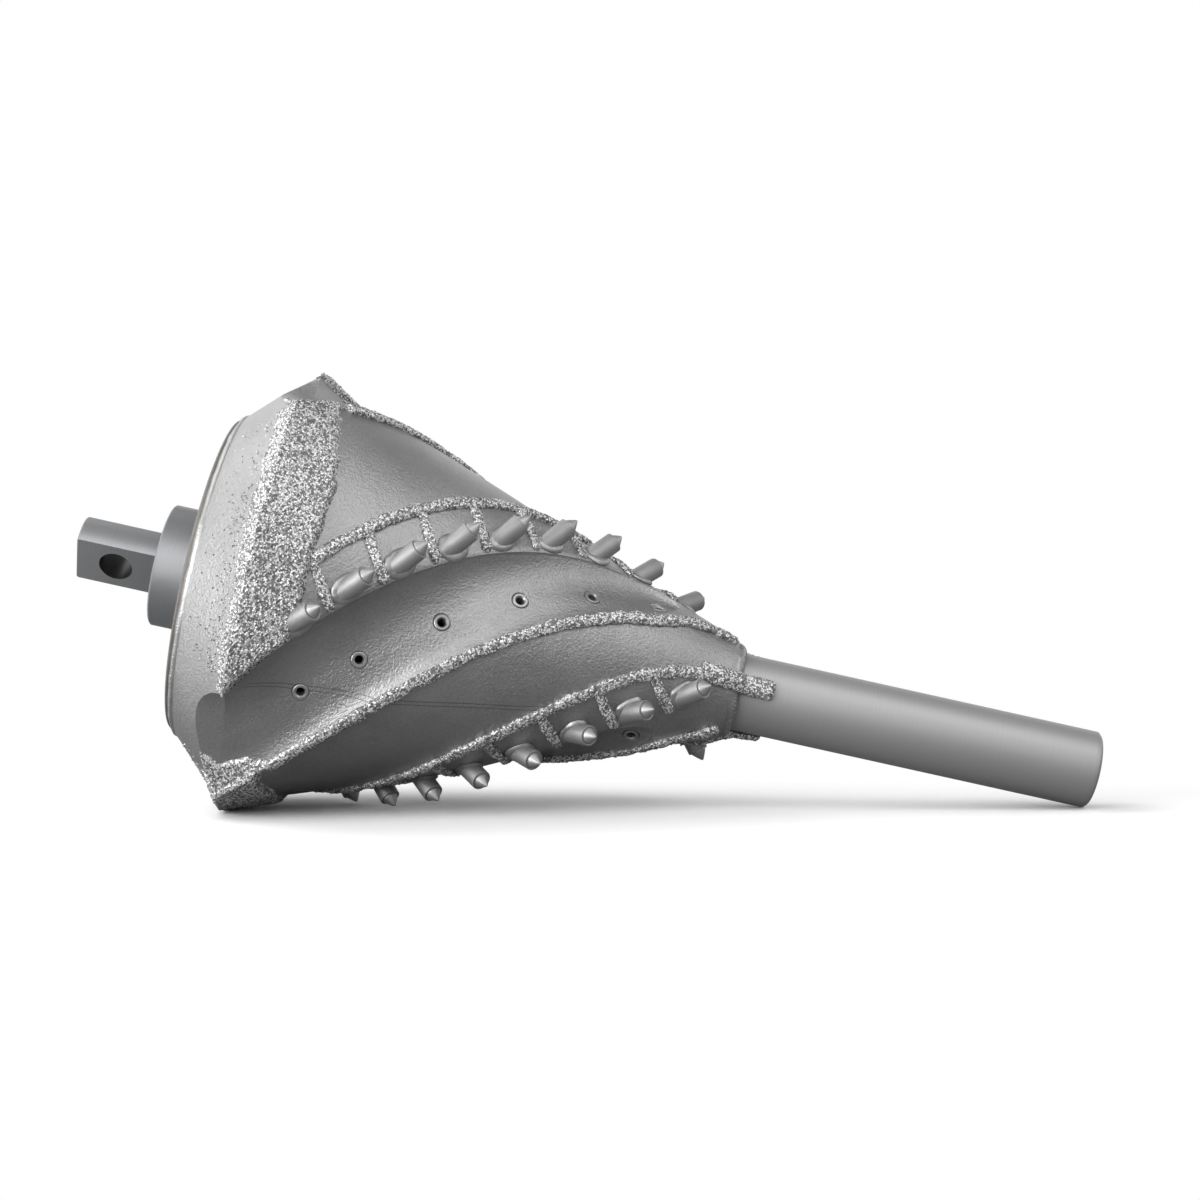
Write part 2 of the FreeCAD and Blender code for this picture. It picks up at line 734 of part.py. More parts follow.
def touch_points():
    """The outermost points of the big end: each cutter's tip and the rims of the pads."""
    points = []
    for number, seats in enumerate(row_seats):
        turn = lobe_turn(number)
        for _, point, axis, _ in seats:
            reach = size("cutter_exposed") + size("tip_length")
            side = axis.cross(AXIS)
            outward = side.cross(axis)
            outward.normalize()
            if outward.dot(Vector(0, point.y, point.z)) < 0:
                outward = outward * -1
            points.append(turn.multVec(point + axis * reach + outward * size("tip_flat")))
        rim = size("gauge_radius") + size("pad_thickness")
        low, high = edge_angle(0), ridge_angle(0) + lobe_arc
        for angle in spread(low, high, PAD_TOUCHES):
            points.append(turn.multVec(on_tool(0, rim, angle)))
    return points


def lean(roll, points):
    """The tilt at which the pipe end and the lowest touch point share one floor."""
    down = Rotation(AXIS, -roll).multVec(Vector(0, 0, -1))
    pipe_tip = size("pipe_end") - size("pipe_bevel")
    return max(math.atan2(point.dot(down) - size("pipe_radius"), pipe_tip - point.x)
               for point in points)


touches = touch_points()
rolls = spread(ROLL_NEAR - ROLL_RANGE, ROLL_NEAR + ROLL_RANGE,
               int(2 * ROLL_RANGE / ROLL_STEP) + 1)
rest_roll = min(rolls, key=lambda roll: (round(math.degrees(lean(roll, touches)), 2),
                                         abs(roll - ROLL_NEAR)))
rest_tilt = math.degrees(lean(rest_roll, touches))
turned_down = Rotation(Vector(0, 1, 0), rest_tilt) * Rotation(AXIS, rest_roll)
print("rest roll %.4f, tilt %.5f degrees" % (rest_roll, rest_tilt))


def lay_down(placement):
    for piece in kept.values():
        piece.Placement = placement * piece.Placement


def whole_box():
    box = FreeCAD.BoundBox()
    for piece in kept.values():
        box.add(piece.Shape.optimalBoundingBox(False, False))
    return box


lay_down(Placement(Vector(), turned_down))
box = whole_box()
shift = Vector(-box.Center.x, -box.Center.y, -box.ZMin)
lay_down(Placement(shift, Rotation()))
print("shift", shift)

# Check every object, then write the pieces
for obj in doc.Objects:
    state = [word for word in obj.State if word in ("Invalid", "Error")]
    if state:
        raise RuntimeError("%s is %s" % (obj.Label, state))
for name, piece in kept.items():
    if piece.Shape.isNull() or not piece.Shape.isValid():
        raise RuntimeError("%s has no valid shape" % name)
for name, piece in kept.items():
    piece.Shape.exportStep("parts/%s.step" % name)
    print(name, len(piece.Shape.Solids), round(piece.Shape.Volume))
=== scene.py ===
# %% [markdown]
# # A button reamer for horizontal drilling
# The real tool is a cast steel cone with three helical flutes. Rows of carbide-tipped cutters
# follow the flute edges, and beads of crushed carbide ("hardfacing") guard the steel between
# them. A drive pipe is welded into the nose and a towing eye into the rear plate.
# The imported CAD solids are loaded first, because every piece is placed around them.

# %% Load the frame
import json
import math
import bmesh
import bpy
import numpy as np
from mathutils import Matrix, Vector


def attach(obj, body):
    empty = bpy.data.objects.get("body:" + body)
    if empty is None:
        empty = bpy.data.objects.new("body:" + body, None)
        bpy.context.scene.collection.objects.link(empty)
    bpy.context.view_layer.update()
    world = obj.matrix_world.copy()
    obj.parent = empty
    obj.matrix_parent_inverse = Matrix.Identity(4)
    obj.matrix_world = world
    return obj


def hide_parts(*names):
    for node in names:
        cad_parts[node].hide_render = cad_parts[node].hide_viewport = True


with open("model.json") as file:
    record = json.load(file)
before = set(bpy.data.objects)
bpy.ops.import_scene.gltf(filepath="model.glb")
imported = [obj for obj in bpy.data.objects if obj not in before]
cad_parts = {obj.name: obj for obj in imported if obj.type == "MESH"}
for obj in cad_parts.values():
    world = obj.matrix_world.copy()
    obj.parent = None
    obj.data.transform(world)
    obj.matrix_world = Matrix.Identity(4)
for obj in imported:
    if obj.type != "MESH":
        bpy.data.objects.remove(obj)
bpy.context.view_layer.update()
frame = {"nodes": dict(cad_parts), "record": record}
mounts = {mount["name"]: mount for mount in frame["record"]["mounts"]}
print("nodes", len(frame["nodes"]))

# %% [markdown]
# ## The tool's own axes
# The tool lies with its pipe end on the floor, so its axis slopes. All shapes are written in
# the tool's own terms, in millimetres: a station along the axis (0 at the largest diameter),
# a radius, and an angle around the axis (0 faces the viewer, 90 is up). Two mounts of the
# record give the axis and the roll, so nothing is fitted by eye.

# %% Axis, near and up directions
PIPE_END = 860.0
COUNTERBORE_DEPTH = 15.9
TANG_ROLL = math.radians(43.0)
MM = 0.001

axis = np.array(mounts["drive_box"]["axis"], dtype=float)
axis /= np.linalg.norm(axis)
pin_axis = np.array(mounts["tow_pin_hole"]["axis"], dtype=float)
pin_axis /= np.linalg.norm(pin_axis)
pin_side = np.cross(pin_axis, axis)
near = pin_axis * math.cos(TANG_ROLL) + pin_side * math.sin(TANG_ROLL)
up = pin_side * math.cos(TANG_ROLL) - pin_axis * math.sin(TANG_ROLL)
drive_box_station = PIPE_END - COUNTERBORE_DEPTH / 2
gauge_centre = np.array(mounts["drive_box"]["pos_m"]) - axis * drive_box_station * MM


def direction(x, radial, angle):
    """A vector from its axial share x and its radial share at an angle in degrees."""
    turn = np.radians(angle)
    x, radial, turn = np.broadcast_arrays(x, radial, turn)
    return (x[..., None] * axis + (radial * np.cos(turn))[..., None] * near
            + (radial * np.sin(turn))[..., None] * up)


print("axis slope", round(math.degrees(math.asin(-axis[2])), 2), "near", near.round(3))

# %% [markdown]
# ## The camera
# The photograph was taken with a longish lens, level with the tool. The camera is worked out
# from where two things appear in the picture: the collar's rear rim on the axis, and the
# direction of the axis. One pixel at that depth is 1.02 mm.

# %% Camera from the picture's geometry
FRAME_PX = 1200.0
FOCAL_PX = 2311.0
SENSOR_MM = 36.0
MM_PER_PX = 1.02
COLLAR_STATION = -112.2
COLLAR_PX = (165.0, 565.0)
AXIS_SLOPE = math.radians(12.5)
AXIS_YAW = math.radians(1.0)

picture_axis = np.array([math.cos(AXIS_YAW) * math.cos(AXIS_SLOPE),
                         math.cos(AXIS_YAW) * math.sin(AXIS_SLOPE), math.sin(AXIS_YAW)])
picture_near = np.array([0.0, 0.0, -1.0]) + picture_axis[2] * picture_axis
picture_near /= np.linalg.norm(picture_near)
picture_up = np.cross(picture_axis, picture_near)
picture_up *= -np.sign(picture_up[1])
to_world = np.stack([axis, near, up], axis=1) @ np.stack([picture_axis, picture_near, picture_up])
right, down, forward = to_world[:, 0], to_world[:, 1], to_world[:, 2]
collar_in_picture = np.array([COLLAR_PX[0] - FRAME_PX / 2, COLLAR_PX[1] - FRAME_PX / 2, FOCAL_PX])
eye_point = (gauge_centre + axis * COLLAR_STATION * MM
             - to_world @ collar_in_picture * MM_PER_PX * MM)

camera_data = bpy.data.cameras.new("photo_camera")
camera_data.sensor_width = SENSOR_MM
camera_data.lens = FOCAL_PX / FRAME_PX * SENSOR_MM
camera = bpy.data.objects.new("photo_camera", camera_data)
camera.matrix_world = Matrix([[right[i], -down[i], -forward[i], eye_point[i]] for i in range(3)]
                             + [[0, 0, 0, 1]])
bpy.context.scene.collection.objects.link(camera)
bpy.context.scene.camera = camera
print("camera at", eye_point.round(3), "looking", forward.round(3))

# %% [markdown]
# ## Studio
# The backdrop is white, as in the photograph. Large soft boxes stand in front, low on the left
# and high on both sides, and the room is bright in a band above the table, so that faces that
# look up and forward are the lightest. Only the camera sees the floor as white paper, which
# glows away from the tool like a lit backdrop; to reflections it is dark grey, as a table is,
# with a white card on the left that brightens the rear cone from below.

# %% Node helpers
def wired(tree, kind, inputs=None, **settings):
    """A node with its settings made and its sockets linked or filled."""
    node = tree.nodes.new(kind)
    for name, value in settings.items():
        setattr(node, name, value)
    for socket, value in (inputs or {}).items():
        if isinstance(value, bpy.types.NodeSocket):
            tree.links.new(value, node.inputs[socket])
        else:
            node.inputs[socket].default_value = value
    return node


def connect(tree, sockets, sources):
    for socket, source in sources.items():
        tree.links.new(source, sockets[socket])


def calculated(tree, operation, *values):
    """The number that one Math node works out."""
    node = wired(tree, "ShaderNodeMath", dict(enumerate(values)), operation=operation)
    return node.outputs["Value"]


def vector_result(tree, operation, *values):
    """What one Vector Math node works out: a number for a dot product or a length."""
    node = wired(tree, "ShaderNodeVectorMath", dict(enumerate(values)), operation=operation)
    return node.outputs["Value" if operation in ("DOT_PRODUCT", "LENGTH") else "Vector"]


def ranged(tree, value, bottom, top, low=0.0, high=1.0, **settings):
    """A value carried from one range to another."""
    sockets = {"Value": value, "From Min": bottom, "From Max": top, "To Min": low, "To Max": high}
    return wired(tree, "ShaderNodeMapRange", sockets, **settings).outputs["Result"]


def camera_or_light(tree, lighting, seen):
    """One shader output for light and reflections, another for what the camera sees."""
    sight = wired(tree, "ShaderNodeLightPath").outputs["Is Camera Ray"]
    return wired(tree, "ShaderNodeMixShader", {0: sight, 1: lighting, 2: seen}).outputs["Shader"]


def place_on(tree, kind="Object"):
    return wired(tree, "ShaderNodeTexCoord").outputs[kind]


def opaque(level):
    """A colour socket's four values from one grey level or from three values."""
    return (*np.broadcast_to(level, 3).tolist(), 1.0)


# %% Floor
FLOOR_SIZE = 60.0
FLOOR_WHITE, FLOOR_GREY = 1.12, 0.22
FLOOR_CARD = (-0.60, -0.95, FLOOR_GREY, 0.9)
FLOOR_FADE, FLOOR_FADE_SHIFT, FLOOR_HALF_LENGTH = (0.12, 0.36), 0.06, 0.55

bpy.ops.mesh.primitive_plane_add(size=FLOOR_SIZE)
floor = bpy.context.object
floor.name = "floor"
paper = bpy.data.materials.new("floor_paper")
paper.use_nodes = True
tree = paper.node_tree
tree.nodes.clear()
across = wired(tree, "ShaderNodeSeparateXYZ", {"Vector": place_on(tree)}).outputs
beside = calculated(tree, "ABSOLUTE", calculated(tree, "ADD", across["Y"], FLOOR_FADE_SHIFT))
beyond = calculated(tree, "SUBTRACT", calculated(tree, "ABSOLUTE", across["X"]), FLOOR_HALF_LENGTH)
fade = ranged(tree, calculated(tree, "MAXIMUM", beyond, beside), *FLOOR_FADE,
              interpolation_type="SMOOTHSTEP")
white = wired(tree, "ShaderNodeBsdfDiffuse", {"Color": opaque(FLOOR_WHITE)}).outputs["BSDF"]
glow = wired(tree, "ShaderNodeEmission").outputs["Emission"]
seen = wired(tree, "ShaderNodeMixShader", {0: fade, 1: white, 2: glow}).outputs["Shader"]
table = wired(tree, "ShaderNodeBsdfDiffuse", {"Color": ranged(tree, across["X"], *FLOOR_CARD)})
wired(tree, "ShaderNodeOutputMaterial",
      {"Surface": camera_or_light(tree, table.outputs["BSDF"], seen)})
floor.data.materials.append(paper)

# %% Lamps
LAMP_DISTANCE, LAMP_SIZE, LAMP_TARGET = 2.6, 1.6, Vector((0, 0, 0.25))
LAMPS = {"low_front": (45, 4, 48.5), "low_left": (70, 4, 15.0), "high_left": (90, 50, 20.0),
         "high_back": (135, 50, 8.5), "front": (20, 35, 11.0), "high_right": (-45, 50, 17.4)}


def soft_box(name, around, height, energy):
    """A square lamp aimed at the tool; both angles in degrees, 0 around is the camera's side."""
    around, height = math.radians(around), math.radians(height)
    data = bpy.data.lights.new(name, "AREA")
    data.size = LAMP_SIZE
    data.energy = energy
    lamp = bpy.data.objects.new(name, data)
    away = Vector((-math.cos(height) * math.sin(around), -math.cos(height) * math.cos(around),
                   math.sin(height)))
    lamp.location = LAMP_TARGET + away * LAMP_DISTANCE
    lamp.rotation_euler = (-away).to_track_quat("-Z", "Y").to_euler()
    bpy.context.scene.collection.objects.link(lamp)


for name, (around, height, energy) in LAMPS.items():
    soft_box(name, around, height, energy)

# %% Sky
SKY_STOPS = ((0.0, 0.21), (0.35, 1.21), (0.7, 0.15), (1.0, 0.26))

world = bpy.data.worlds.new("studio")
bpy.context.scene.world = world
world.use_nodes = True
tree = world.node_tree
sky, backdrop = tree.nodes["Background"], wired(tree, "ShaderNodeBackground", {"Color": opaque(1)})
height = wired(tree, "ShaderNodeSeparateXYZ", {"Vector": place_on(tree, "Generated")}).outputs["Z"]
ramp = wired(tree, "ShaderNodeValToRGB", {"Fac": height})
while len(ramp.color_ramp.elements) < len(SKY_STOPS):
    ramp.color_ramp.elements.new(0.5)
for stop, (position, level) in zip(ramp.color_ramp.elements, SKY_STOPS):
    stop.position, stop.color = position, opaque(level)
connect(tree, sky.inputs, {"Color": ramp.outputs["Color"]})
connect(tree, tree.nodes["World Output"].inputs, {
    "Surface": camera_or_light(tree, sky.outputs["Background"], backdrop.outputs["Background"])})
bpy.context.scene.view_settings.view_transform = "Standard"

# %% [markdown]
# ## Materials
# All finishes are worked out from the object's own coordinates; the towing eye's painted shade on
# faces that look back also follows the surface's facing. Shared node groups give the fine grain of
# blasted steel, the rings left by turning, and the glitter of crushed carbide with painted shade
# between the grains. A group hands out only colours, masks, values and normals.

# %% Shared node groups
DIMPLE_SCALE = 190.0
PARTING_ANGLE, PARTING_WIDTH, PARTING_STEP, PARTING_WAVER = -26.5, 0.0009, 0.0042, 0.002
PARTING_WAVER_SCALE, PARTING_FADES = 30.0, ((0.0, 0.02), (0.36, 0.26))
GRIT_GAP, GRIT_BUMP, RING_DETAIL = 0.12, 0.0006, 4.0


def shared_group(name, inputs, outputs):
    """A new node group, what its input node gives and what its output node takes."""
    group = bpy.data.node_groups.new(name, "ShaderNodeTree")
    for socket, value in inputs.items():
        made = group.interface.new_socket(socket, in_out="INPUT", socket_type="NodeSocketFloat")
        made.default_value = value
    for socket, kind in outputs.items():
        group.interface.new_socket(socket, in_out="OUTPUT", socket_type="NodeSocket" + kind)
    given, taken = group.nodes.new("NodeGroupInput"), group.nodes.new("NodeGroupOutput")
    return group, given.outputs, taken.inputs


def noise(tree, place, scale, detail, roughness=0.5):
    return wired(tree, "ShaderNodeTexNoise", {"Vector": place, "Scale": scale, "Detail": detail,
                                              "Roughness": roughness}).outputs["Fac"]


def tilted(tree, height, distance, **normal):
    """The normal of a surface raised by a distance, in metres, where the height is 1."""
    return wired(tree, "ShaderNodeBump", {"Height": height, "Distance": distance,
                                          "Strength": 1.0, **normal}).outputs["Normal"]


def grain_group():
    """Broad patches, cast dimples and fine specks; dimples and specks also tilt the surface."""
    group, given, taken = shared_group(
        "blasted_grain", {"Grain scale": 450.0, "Patch scale": 14.0, "Depth": 0.0002,
                          "Dimple depth": 0.0},
        {"Mottle": "Float", "Specks": "Float", "Normal": "Vector"})
    place = place_on(group)
    patches = noise(group, place, given["Patch scale"], 5.0, 0.6)
    specks = noise(group, place, given["Grain scale"], 3.0, 0.65)
    dented = tilted(group, noise(group, place, DIMPLE_SCALE, 4.0), given["Dimple depth"])
    mottle = calculated(group, "MULTIPLY", calculated(group, "ADD", patches, specks), 0.5)
    connect(group, taken, {"Mottle": mottle, "Specks": specks,
                           "Normal": tilted(group, specks, given["Depth"], Normal=dented)})
    return group


def parting_group():
    """The mould's parting line: a double seam where a plane through the axis meets the skin."""
    group, _, taken = shared_group("parting_line", {}, {"Seam": "Float"})
    place = place_on(group)
    from_centre = vector_result(group, "SUBTRACT", place, tuple(gauge_centre))
    side = tuple(direction(0.0, 1.0, PARTING_ANGLE + 90))
    swing = calculated(group, "MULTIPLY_ADD", noise(group, place, PARTING_WAVER_SCALE, 3.0),
                       PARTING_WAVER, vector_result(group, "DOT_PRODUCT", from_centre, side))
    seam = calculated(group, "MAXIMUM", *(
        ranged(group, calculated(group, "ABSOLUTE", calculated(group, "ADD", swing, shift)),
               PARTING_WIDTH, 0.0) for shift in (0.0, PARTING_STEP)))
    station = vector_result(group, "DOT_PRODUCT", from_centre, tuple(axis))
    for start, full in PARTING_FADES:
        seam = calculated(group, "MULTIPLY", seam, ranged(group, station, start, full))
    connect(group, taken, {"Seam": seam})
    return group


def ring_group():
    """Fine rings round the tool's axis, as turning leaves them: noise of the station alone."""
    group, given, taken = shared_group("turned_rings", {"Ring scale": 900.0, "Depth": 0.00003},
                                       {"Rings": "Float", "Normal": "Vector"})
    station = vector_result(group, "DOT_PRODUCT", place_on(group), tuple(axis))
    rings = wired(group, "ShaderNodeTexNoise", {"W": station, "Scale": given["Ring scale"],
                                                "Detail": RING_DETAIL},
                  noise_dimensions="1D").outputs["Fac"]
    connect(group, taken, {"Rings": rings, "Normal": tilted(group, rings, given["Depth"])})
    return group


def grit_group():
    """Crushed carbide: a grey drawn for each cell, and a mask for painted shade in the gaps along
    the cell walls.
    """
    group, given, taken = shared_group("carbide_grit", {"Grain scale": 560.0},
                                       {"Grey": "Float", "Gap shade": "Float", "Normal": "Vector"})
    sockets = {"Vector": place_on(group), "Scale": given["Grain scale"]}
    cells, walls = (wired(group, "ShaderNodeTexVoronoi", sockets, feature=feature).outputs
                    for feature in ("F1", "DISTANCE_TO_EDGE"))
    drawn = wired(group, "ShaderNodeSeparateColor", {"Color": cells["Color"]}).outputs
    connect(group, taken, {"Grey": drawn["Green"],
                           "Gap shade": ranged(group, walls["Distance"], 0.0, GRIT_GAP),
                           "Normal": tilted(group, drawn["Red"], GRIT_BUMP)})
    return group


blasted_grain, turned_rings, carbide_grit = grain_group(), ring_group(), grit_group()
parting_line = parting_group()

# %% Painted shade masks for the towing eye
PIN_HOLE_RADIUS, FACING_BACK = 17.1, -0.9


def end_face_shade(tree):
    """1 on faces that look back along the tool's axis; these get a darker grey as painted shade."""
    normal = wired(tree, "ShaderNodeNewGeometry").outputs["Normal"]
    along = vector_result(tree, "DOT_PRODUCT", normal, tuple(axis))
    return calculated(tree, "LESS_THAN", along, FACING_BACK)


def pin_bore_shade(tree):
    """1 inside the pin hole, which gets a near-black grey as painted shade; the cross product with
    its line gives the distance from it.
    """
    pin = mounts["tow_pin_hole"]["pos_m"]
    away = vector_result(tree, "SUBTRACT", place_on(tree), tuple(pin))
    cross = vector_result(tree, "CROSS_PRODUCT", away, tuple(pin_axis))
    return calculated(tree, "LESS_THAN", vector_result(tree, "LENGTH", cross), PIN_HOLE_RADIUS * MM)


# %% Finishes
MIX_SOCKETS, MIX_RESULT = (0, 6, 7), 2
RAMP_ENDS, SHINE_SWING = (0.3, 0.7), 0.1
# Painted shade: the end-face grey on faces that look back, the bore grey inside the pin hole, and
# the gap grey between carbide grains.
SEAM_GREY, GAP_SHADE_GREY, END_FACE_SHADE_GREY, BORE_SHADE_GREY = 0.2, 0.03, 0.12, 0.05


def new_finish(name, metallic):
    """A material, its node tree and the sockets of its shader."""
    material = bpy.data.materials.new(name)
    material.use_nodes = True
    sockets = material.node_tree.nodes["Principled BSDF"].inputs
    sockets["Metallic"].default_value = metallic
    return material, material.node_tree, sockets


def colour_between(tree, factor, dark, light):
    """A colour ramp from dark to light over the middle of a noise."""
    ramp = wired(tree, "ShaderNodeValToRGB", {"Fac": factor})
    for stop, position, level in zip(ramp.color_ramp.elements, RAMP_ENDS, (dark, light)):
        stop.position, stop.color = position, opaque(level)
    return ramp.outputs["Color"]


def faded(tree, factor, first, second):
    """One colour or colour output turning into another as the factor goes from 0 to 1."""
    sockets = dict(zip(MIX_SOCKETS, (factor, first, second)))
    return wired(tree, "ShaderNodeMix", sockets, data_type="RGBA").outputs[MIX_RESULT]


def steel(name, dark, light, roughness, metallic, grain, patch, depth, dimples=0.0, seam=False):
    """Steel whose colour is mottled and whose shine follows fine specks."""
    material, tree, sockets = new_finish(name, metallic)
    amounts = {"Grain scale": grain, "Patch scale": patch, "Depth": depth, "Dimple depth": dimples}
    skin = wired(tree, "ShaderNodeGroup", amounts, node_tree=blasted_grain).outputs
    colour = colour_between(tree, skin["Mottle"], dark, light)
    if seam:
        line = wired(tree, "ShaderNodeGroup", node_tree=parting_line).outputs["Seam"]
        colour = faded(tree, line, colour, opaque(SEAM_GREY))
    shine = ranged(tree, skin["Specks"], 0, 1, roughness - SHINE_SWING, roughness + SHINE_SWING)
    connect(tree, sockets, {"Base Color": colour, "Roughness": shine, "Normal": skin["Normal"]})
    return material


def turned_steel(name, dark, light, roughness, metallic, depth, painted_shade=()):
    """Steel with rings from turning; each given mask comes with a darker grey, painted there as
    shade.
    """
    material, tree, sockets = new_finish(name, metallic)
    rings = wired(tree, "ShaderNodeGroup", {"Depth": depth}, node_tree=turned_rings).outputs
    colour = colour_between(tree, rings["Rings"], dark, light)
    for mask, level in painted_shade:
        colour = faded(tree, mask(tree), colour, opaque(level))
    connect(tree, sockets, {"Base Color": colour, "Normal": rings["Normal"]})
    sockets["Roughness"].default_value = roughness
    return material


def grit_finish(name, dark, light, roughness, metallic):
    """Each grain has its own grey; painted shade makes the gaps between grains nearly black."""
    material, tree, sockets = new_finish(name, metallic)
    grit = wired(tree, "ShaderNodeGroup", node_tree=carbide_grit).outputs
    colour = colour_between(tree, grit["Grey"], dark, light)
    connect(tree, sockets, {"Base Color": faded(tree, grit["Gap shade"], opaque(GAP_SHADE_GREY), colour),
                            "Normal": grit["Normal"]})
    sockets["Roughness"].default_value = roughness
    return material


# Each finish has the name of its slot in the record. Greys are one number, colours three.
FINISHES = {
    "cast_steel": (steel, dict(dark=0.31, light=0.48, roughness=0.36, metallic=0.85, grain=420,
                               patch=12, depth=0.0009, dimples=0.0005, seam=True)),
    "plate_steel": (steel, dict(dark=(0.16, 0.145, 0.13), light=(0.25, 0.24, 0.23), roughness=0.55,
                                metallic=0.6, grain=300, patch=20, depth=0.0002)),
    "weld_metal": (steel, dict(dark=0.34, light=0.45, roughness=0.4, metallic=0.8, grain=260,
                               patch=60, depth=0.00015)),
    "holder_steel": (steel, dict(dark=0.34, light=0.42, roughness=0.58, metallic=0.8, grain=500,
                                 patch=60, depth=0.00003)),
    "carbide": (steel, dict(dark=0.42, light=(0.55, 0.55, 0.56), roughness=0.48, metallic=0.85,
                            grain=600, patch=90, depth=0.00004)),
    "nozzle_steel": (steel, dict(dark=0.36, light=0.45, roughness=0.4, metallic=0.8, grain=500,
                                 patch=60, depth=0.00004)),
    "pipe_steel": (turned_steel, dict(dark=0.41, light=0.45, roughness=0.5, metallic=0.65,
                                      depth=0.00001)),
    # The towing eye's steel carries painted shade on its back faces and inside its pin hole.
    "machined_steel": (turned_steel, dict(
        dark=(0.29, 0.30, 0.31), light=(0.33, 0.335, 0.345), roughness=0.42, metallic=0.85,
        depth=0.00001, painted_shade=((end_face_shade, END_FACE_SHADE_GREY), (pin_bore_shade, BORE_SHADE_GREY)))),
    "hardfacing": (grit_finish, dict(dark=0.22, light=1.0, roughness=0.4, metallic=0.3))}
finishes = {name: make(name, **look) for name, (make, look) in FINISHES.items()}

# %% [markdown]
# ## Helpers for surfaces
# Every new piece is a surface of two parameters, worked out for a whole grid at once. A grid
# can close on itself in either direction, and its open ends can be capped, so that each piece
# ends as a closed shell like the solid it stands for.

# %% Grid to mesh
SHARP_ANGLE = math.radians(32)


def placed(points):
    """Millimetres round the gauge centre to world metres."""
    return gauge_centre + points * MM


def tube(points):
    """A grid in millimetres, closed round each row, whose first and last rows get a cap."""
    return placed(points), True


def loop(points):
    """A grid closed round each row, whose last row also joins the first, like a ring."""
    return placed(points), False


def grid_faces(rows, columns, capped):
    """Quads between neighbouring grid points; indices wrap where a direction is closed."""
    row, column = np.meshgrid(np.arange(rows - 1 if capped else rows), np.arange(columns),
                              indexing="ij")
    next_row, next_column = (row + 1) % rows, (column + 1) % columns
    corners = [row * columns + column, row * columns + next_column,
               next_row * columns + next_column, next_row * columns + column]
    return np.stack(corners, axis=-1).reshape(-1, 4)


def mesh_piece(name, grids, smooth=True):
    """One object from tubes and loops, with its normals made outward."""
    vertices, faces, start = [], [], 0
    for points, capped in grids:
        rows, columns = points.shape[:2]
        vertices.append(points.reshape(-1, 3))
        faces += (grid_faces(rows, columns, capped) + start).tolist()
        if capped:
            faces.append((np.arange(columns)[::-1] + start).tolist())
            faces.append((np.arange(columns) + start + (rows - 1) * columns).tolist())
        start += rows * columns
    mesh = bpy.data.meshes.new(name)
    mesh.from_pydata(np.concatenate(vertices).tolist(), [], faces)
    build = bmesh.new()
    build.from_mesh(mesh)
    bmesh.ops.recalc_face_normals(build, faces=build.faces)
    build.to_mesh(mesh)
    build.free()
    mesh.polygons.foreach_set("use_smooth", [smooth] * len(mesh.polygons))
    mesh.set_sharp_from_angle(angle=SHARP_ANGLE)
    piece = bpy.data.objects.new(name, mesh)
    bpy.context.scene.collection.objects.link(piece)
    return piece


def stand_in(piece, slot_name, *nodes):
    """The piece rides on the tool, takes its slot's finish and hides the nodes it stands for."""
    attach(piece, "root")
    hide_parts(*nodes)
    piece.data.materials.clear()
    piece.data.materials.append(finishes[slot_name])


def new_piece(name, grids, slot_name, node):
    """A new mesh for one node; only hardfacing keeps flat faces."""
    stand_in(mesh_piece(name, grids, smooth=slot_name != "hardfacing"), slot_name, node)


# %% Noise for cast skin and crushed grit
LATTICE_PRIMES, SEED_PRIME, STIR_PRIME, LOW_BITS = ((73856093, 19349663, 83492791), 2654435761,
                                                    1274126177, 0xFFFFFF)
GRIT_LEAST, GRIT_SPREAD, GRIT_SLOPE = 0.6, 0.6, 0.9
# The first seed of each kind of piece: no two pieces share their noise.
SEEDS = {"row": 11, "ridge": 31, "divider": 51, "pad": 70, "fin": 90, "puddle": 110,
         "corner": 130, "weld": 140, "stray": 170}


def lattice_random(cells, seed):
    """A repeatable number from 0 to 1 for each whole-numbered lattice point."""
    i, j, k = (cells[..., n].astype(np.int64) * prime for n, prime in enumerate(LATTICE_PRIMES))
    mixed = i ^ j ^ k ^ (seed * SEED_PRIME)
    mixed = (mixed ^ (mixed >> 13)) * STIR_PRIME
    return ((mixed ^ (mixed >> 16)) & LOW_BITS) / float(LOW_BITS)


def soft_noise(points, cell, seed):
    """Value noise from -1 to 1: lattice numbers blended smoothly; points in millimetres."""
    scaled = points / cell
    base = np.floor(scaled)
    part = scaled - base
    part = part * part * (3 - 2 * part)
    total = np.zeros(points.shape[:-1])
    for corner in np.ndindex(2, 2, 2):
        corner = np.array(corner)
        weight = np.prod(np.where(corner == 1, part, 1 - part), axis=-1)
        total += weight * lattice_random(base + corner, seed)
    return total * 2 - 1


def grit_noise(points, cell, seed):
    """Crushed grain: the highest of the cones that stand on each cell's random point, 0 to 1."""
    scaled = points / cell
    base = np.floor(scaled)
    best = np.zeros(points.shape[:-1])
    for neighbour in np.ndindex(3, 3, 3):
        lattice = base + np.array(neighbour) - 1
        centre = lattice + np.stack([lattice_random(lattice, seed + n) for n in range(3)], axis=-1)
        distance = np.linalg.norm(scaled - centre, axis=-1)
        tallest = lattice_random(lattice, seed + 7) * GRIT_SPREAD + GRIT_LEAST
        best = np.maximum(best, tallest - distance * GRIT_SLOPE)
    return best


# %% [markdown]
# ## The casting
# The cone's skin is a radius that depends on the station and the angle. Grid lines follow the
# helix, so each flute edge lies exactly on a grid line and stays crisp without extra points.

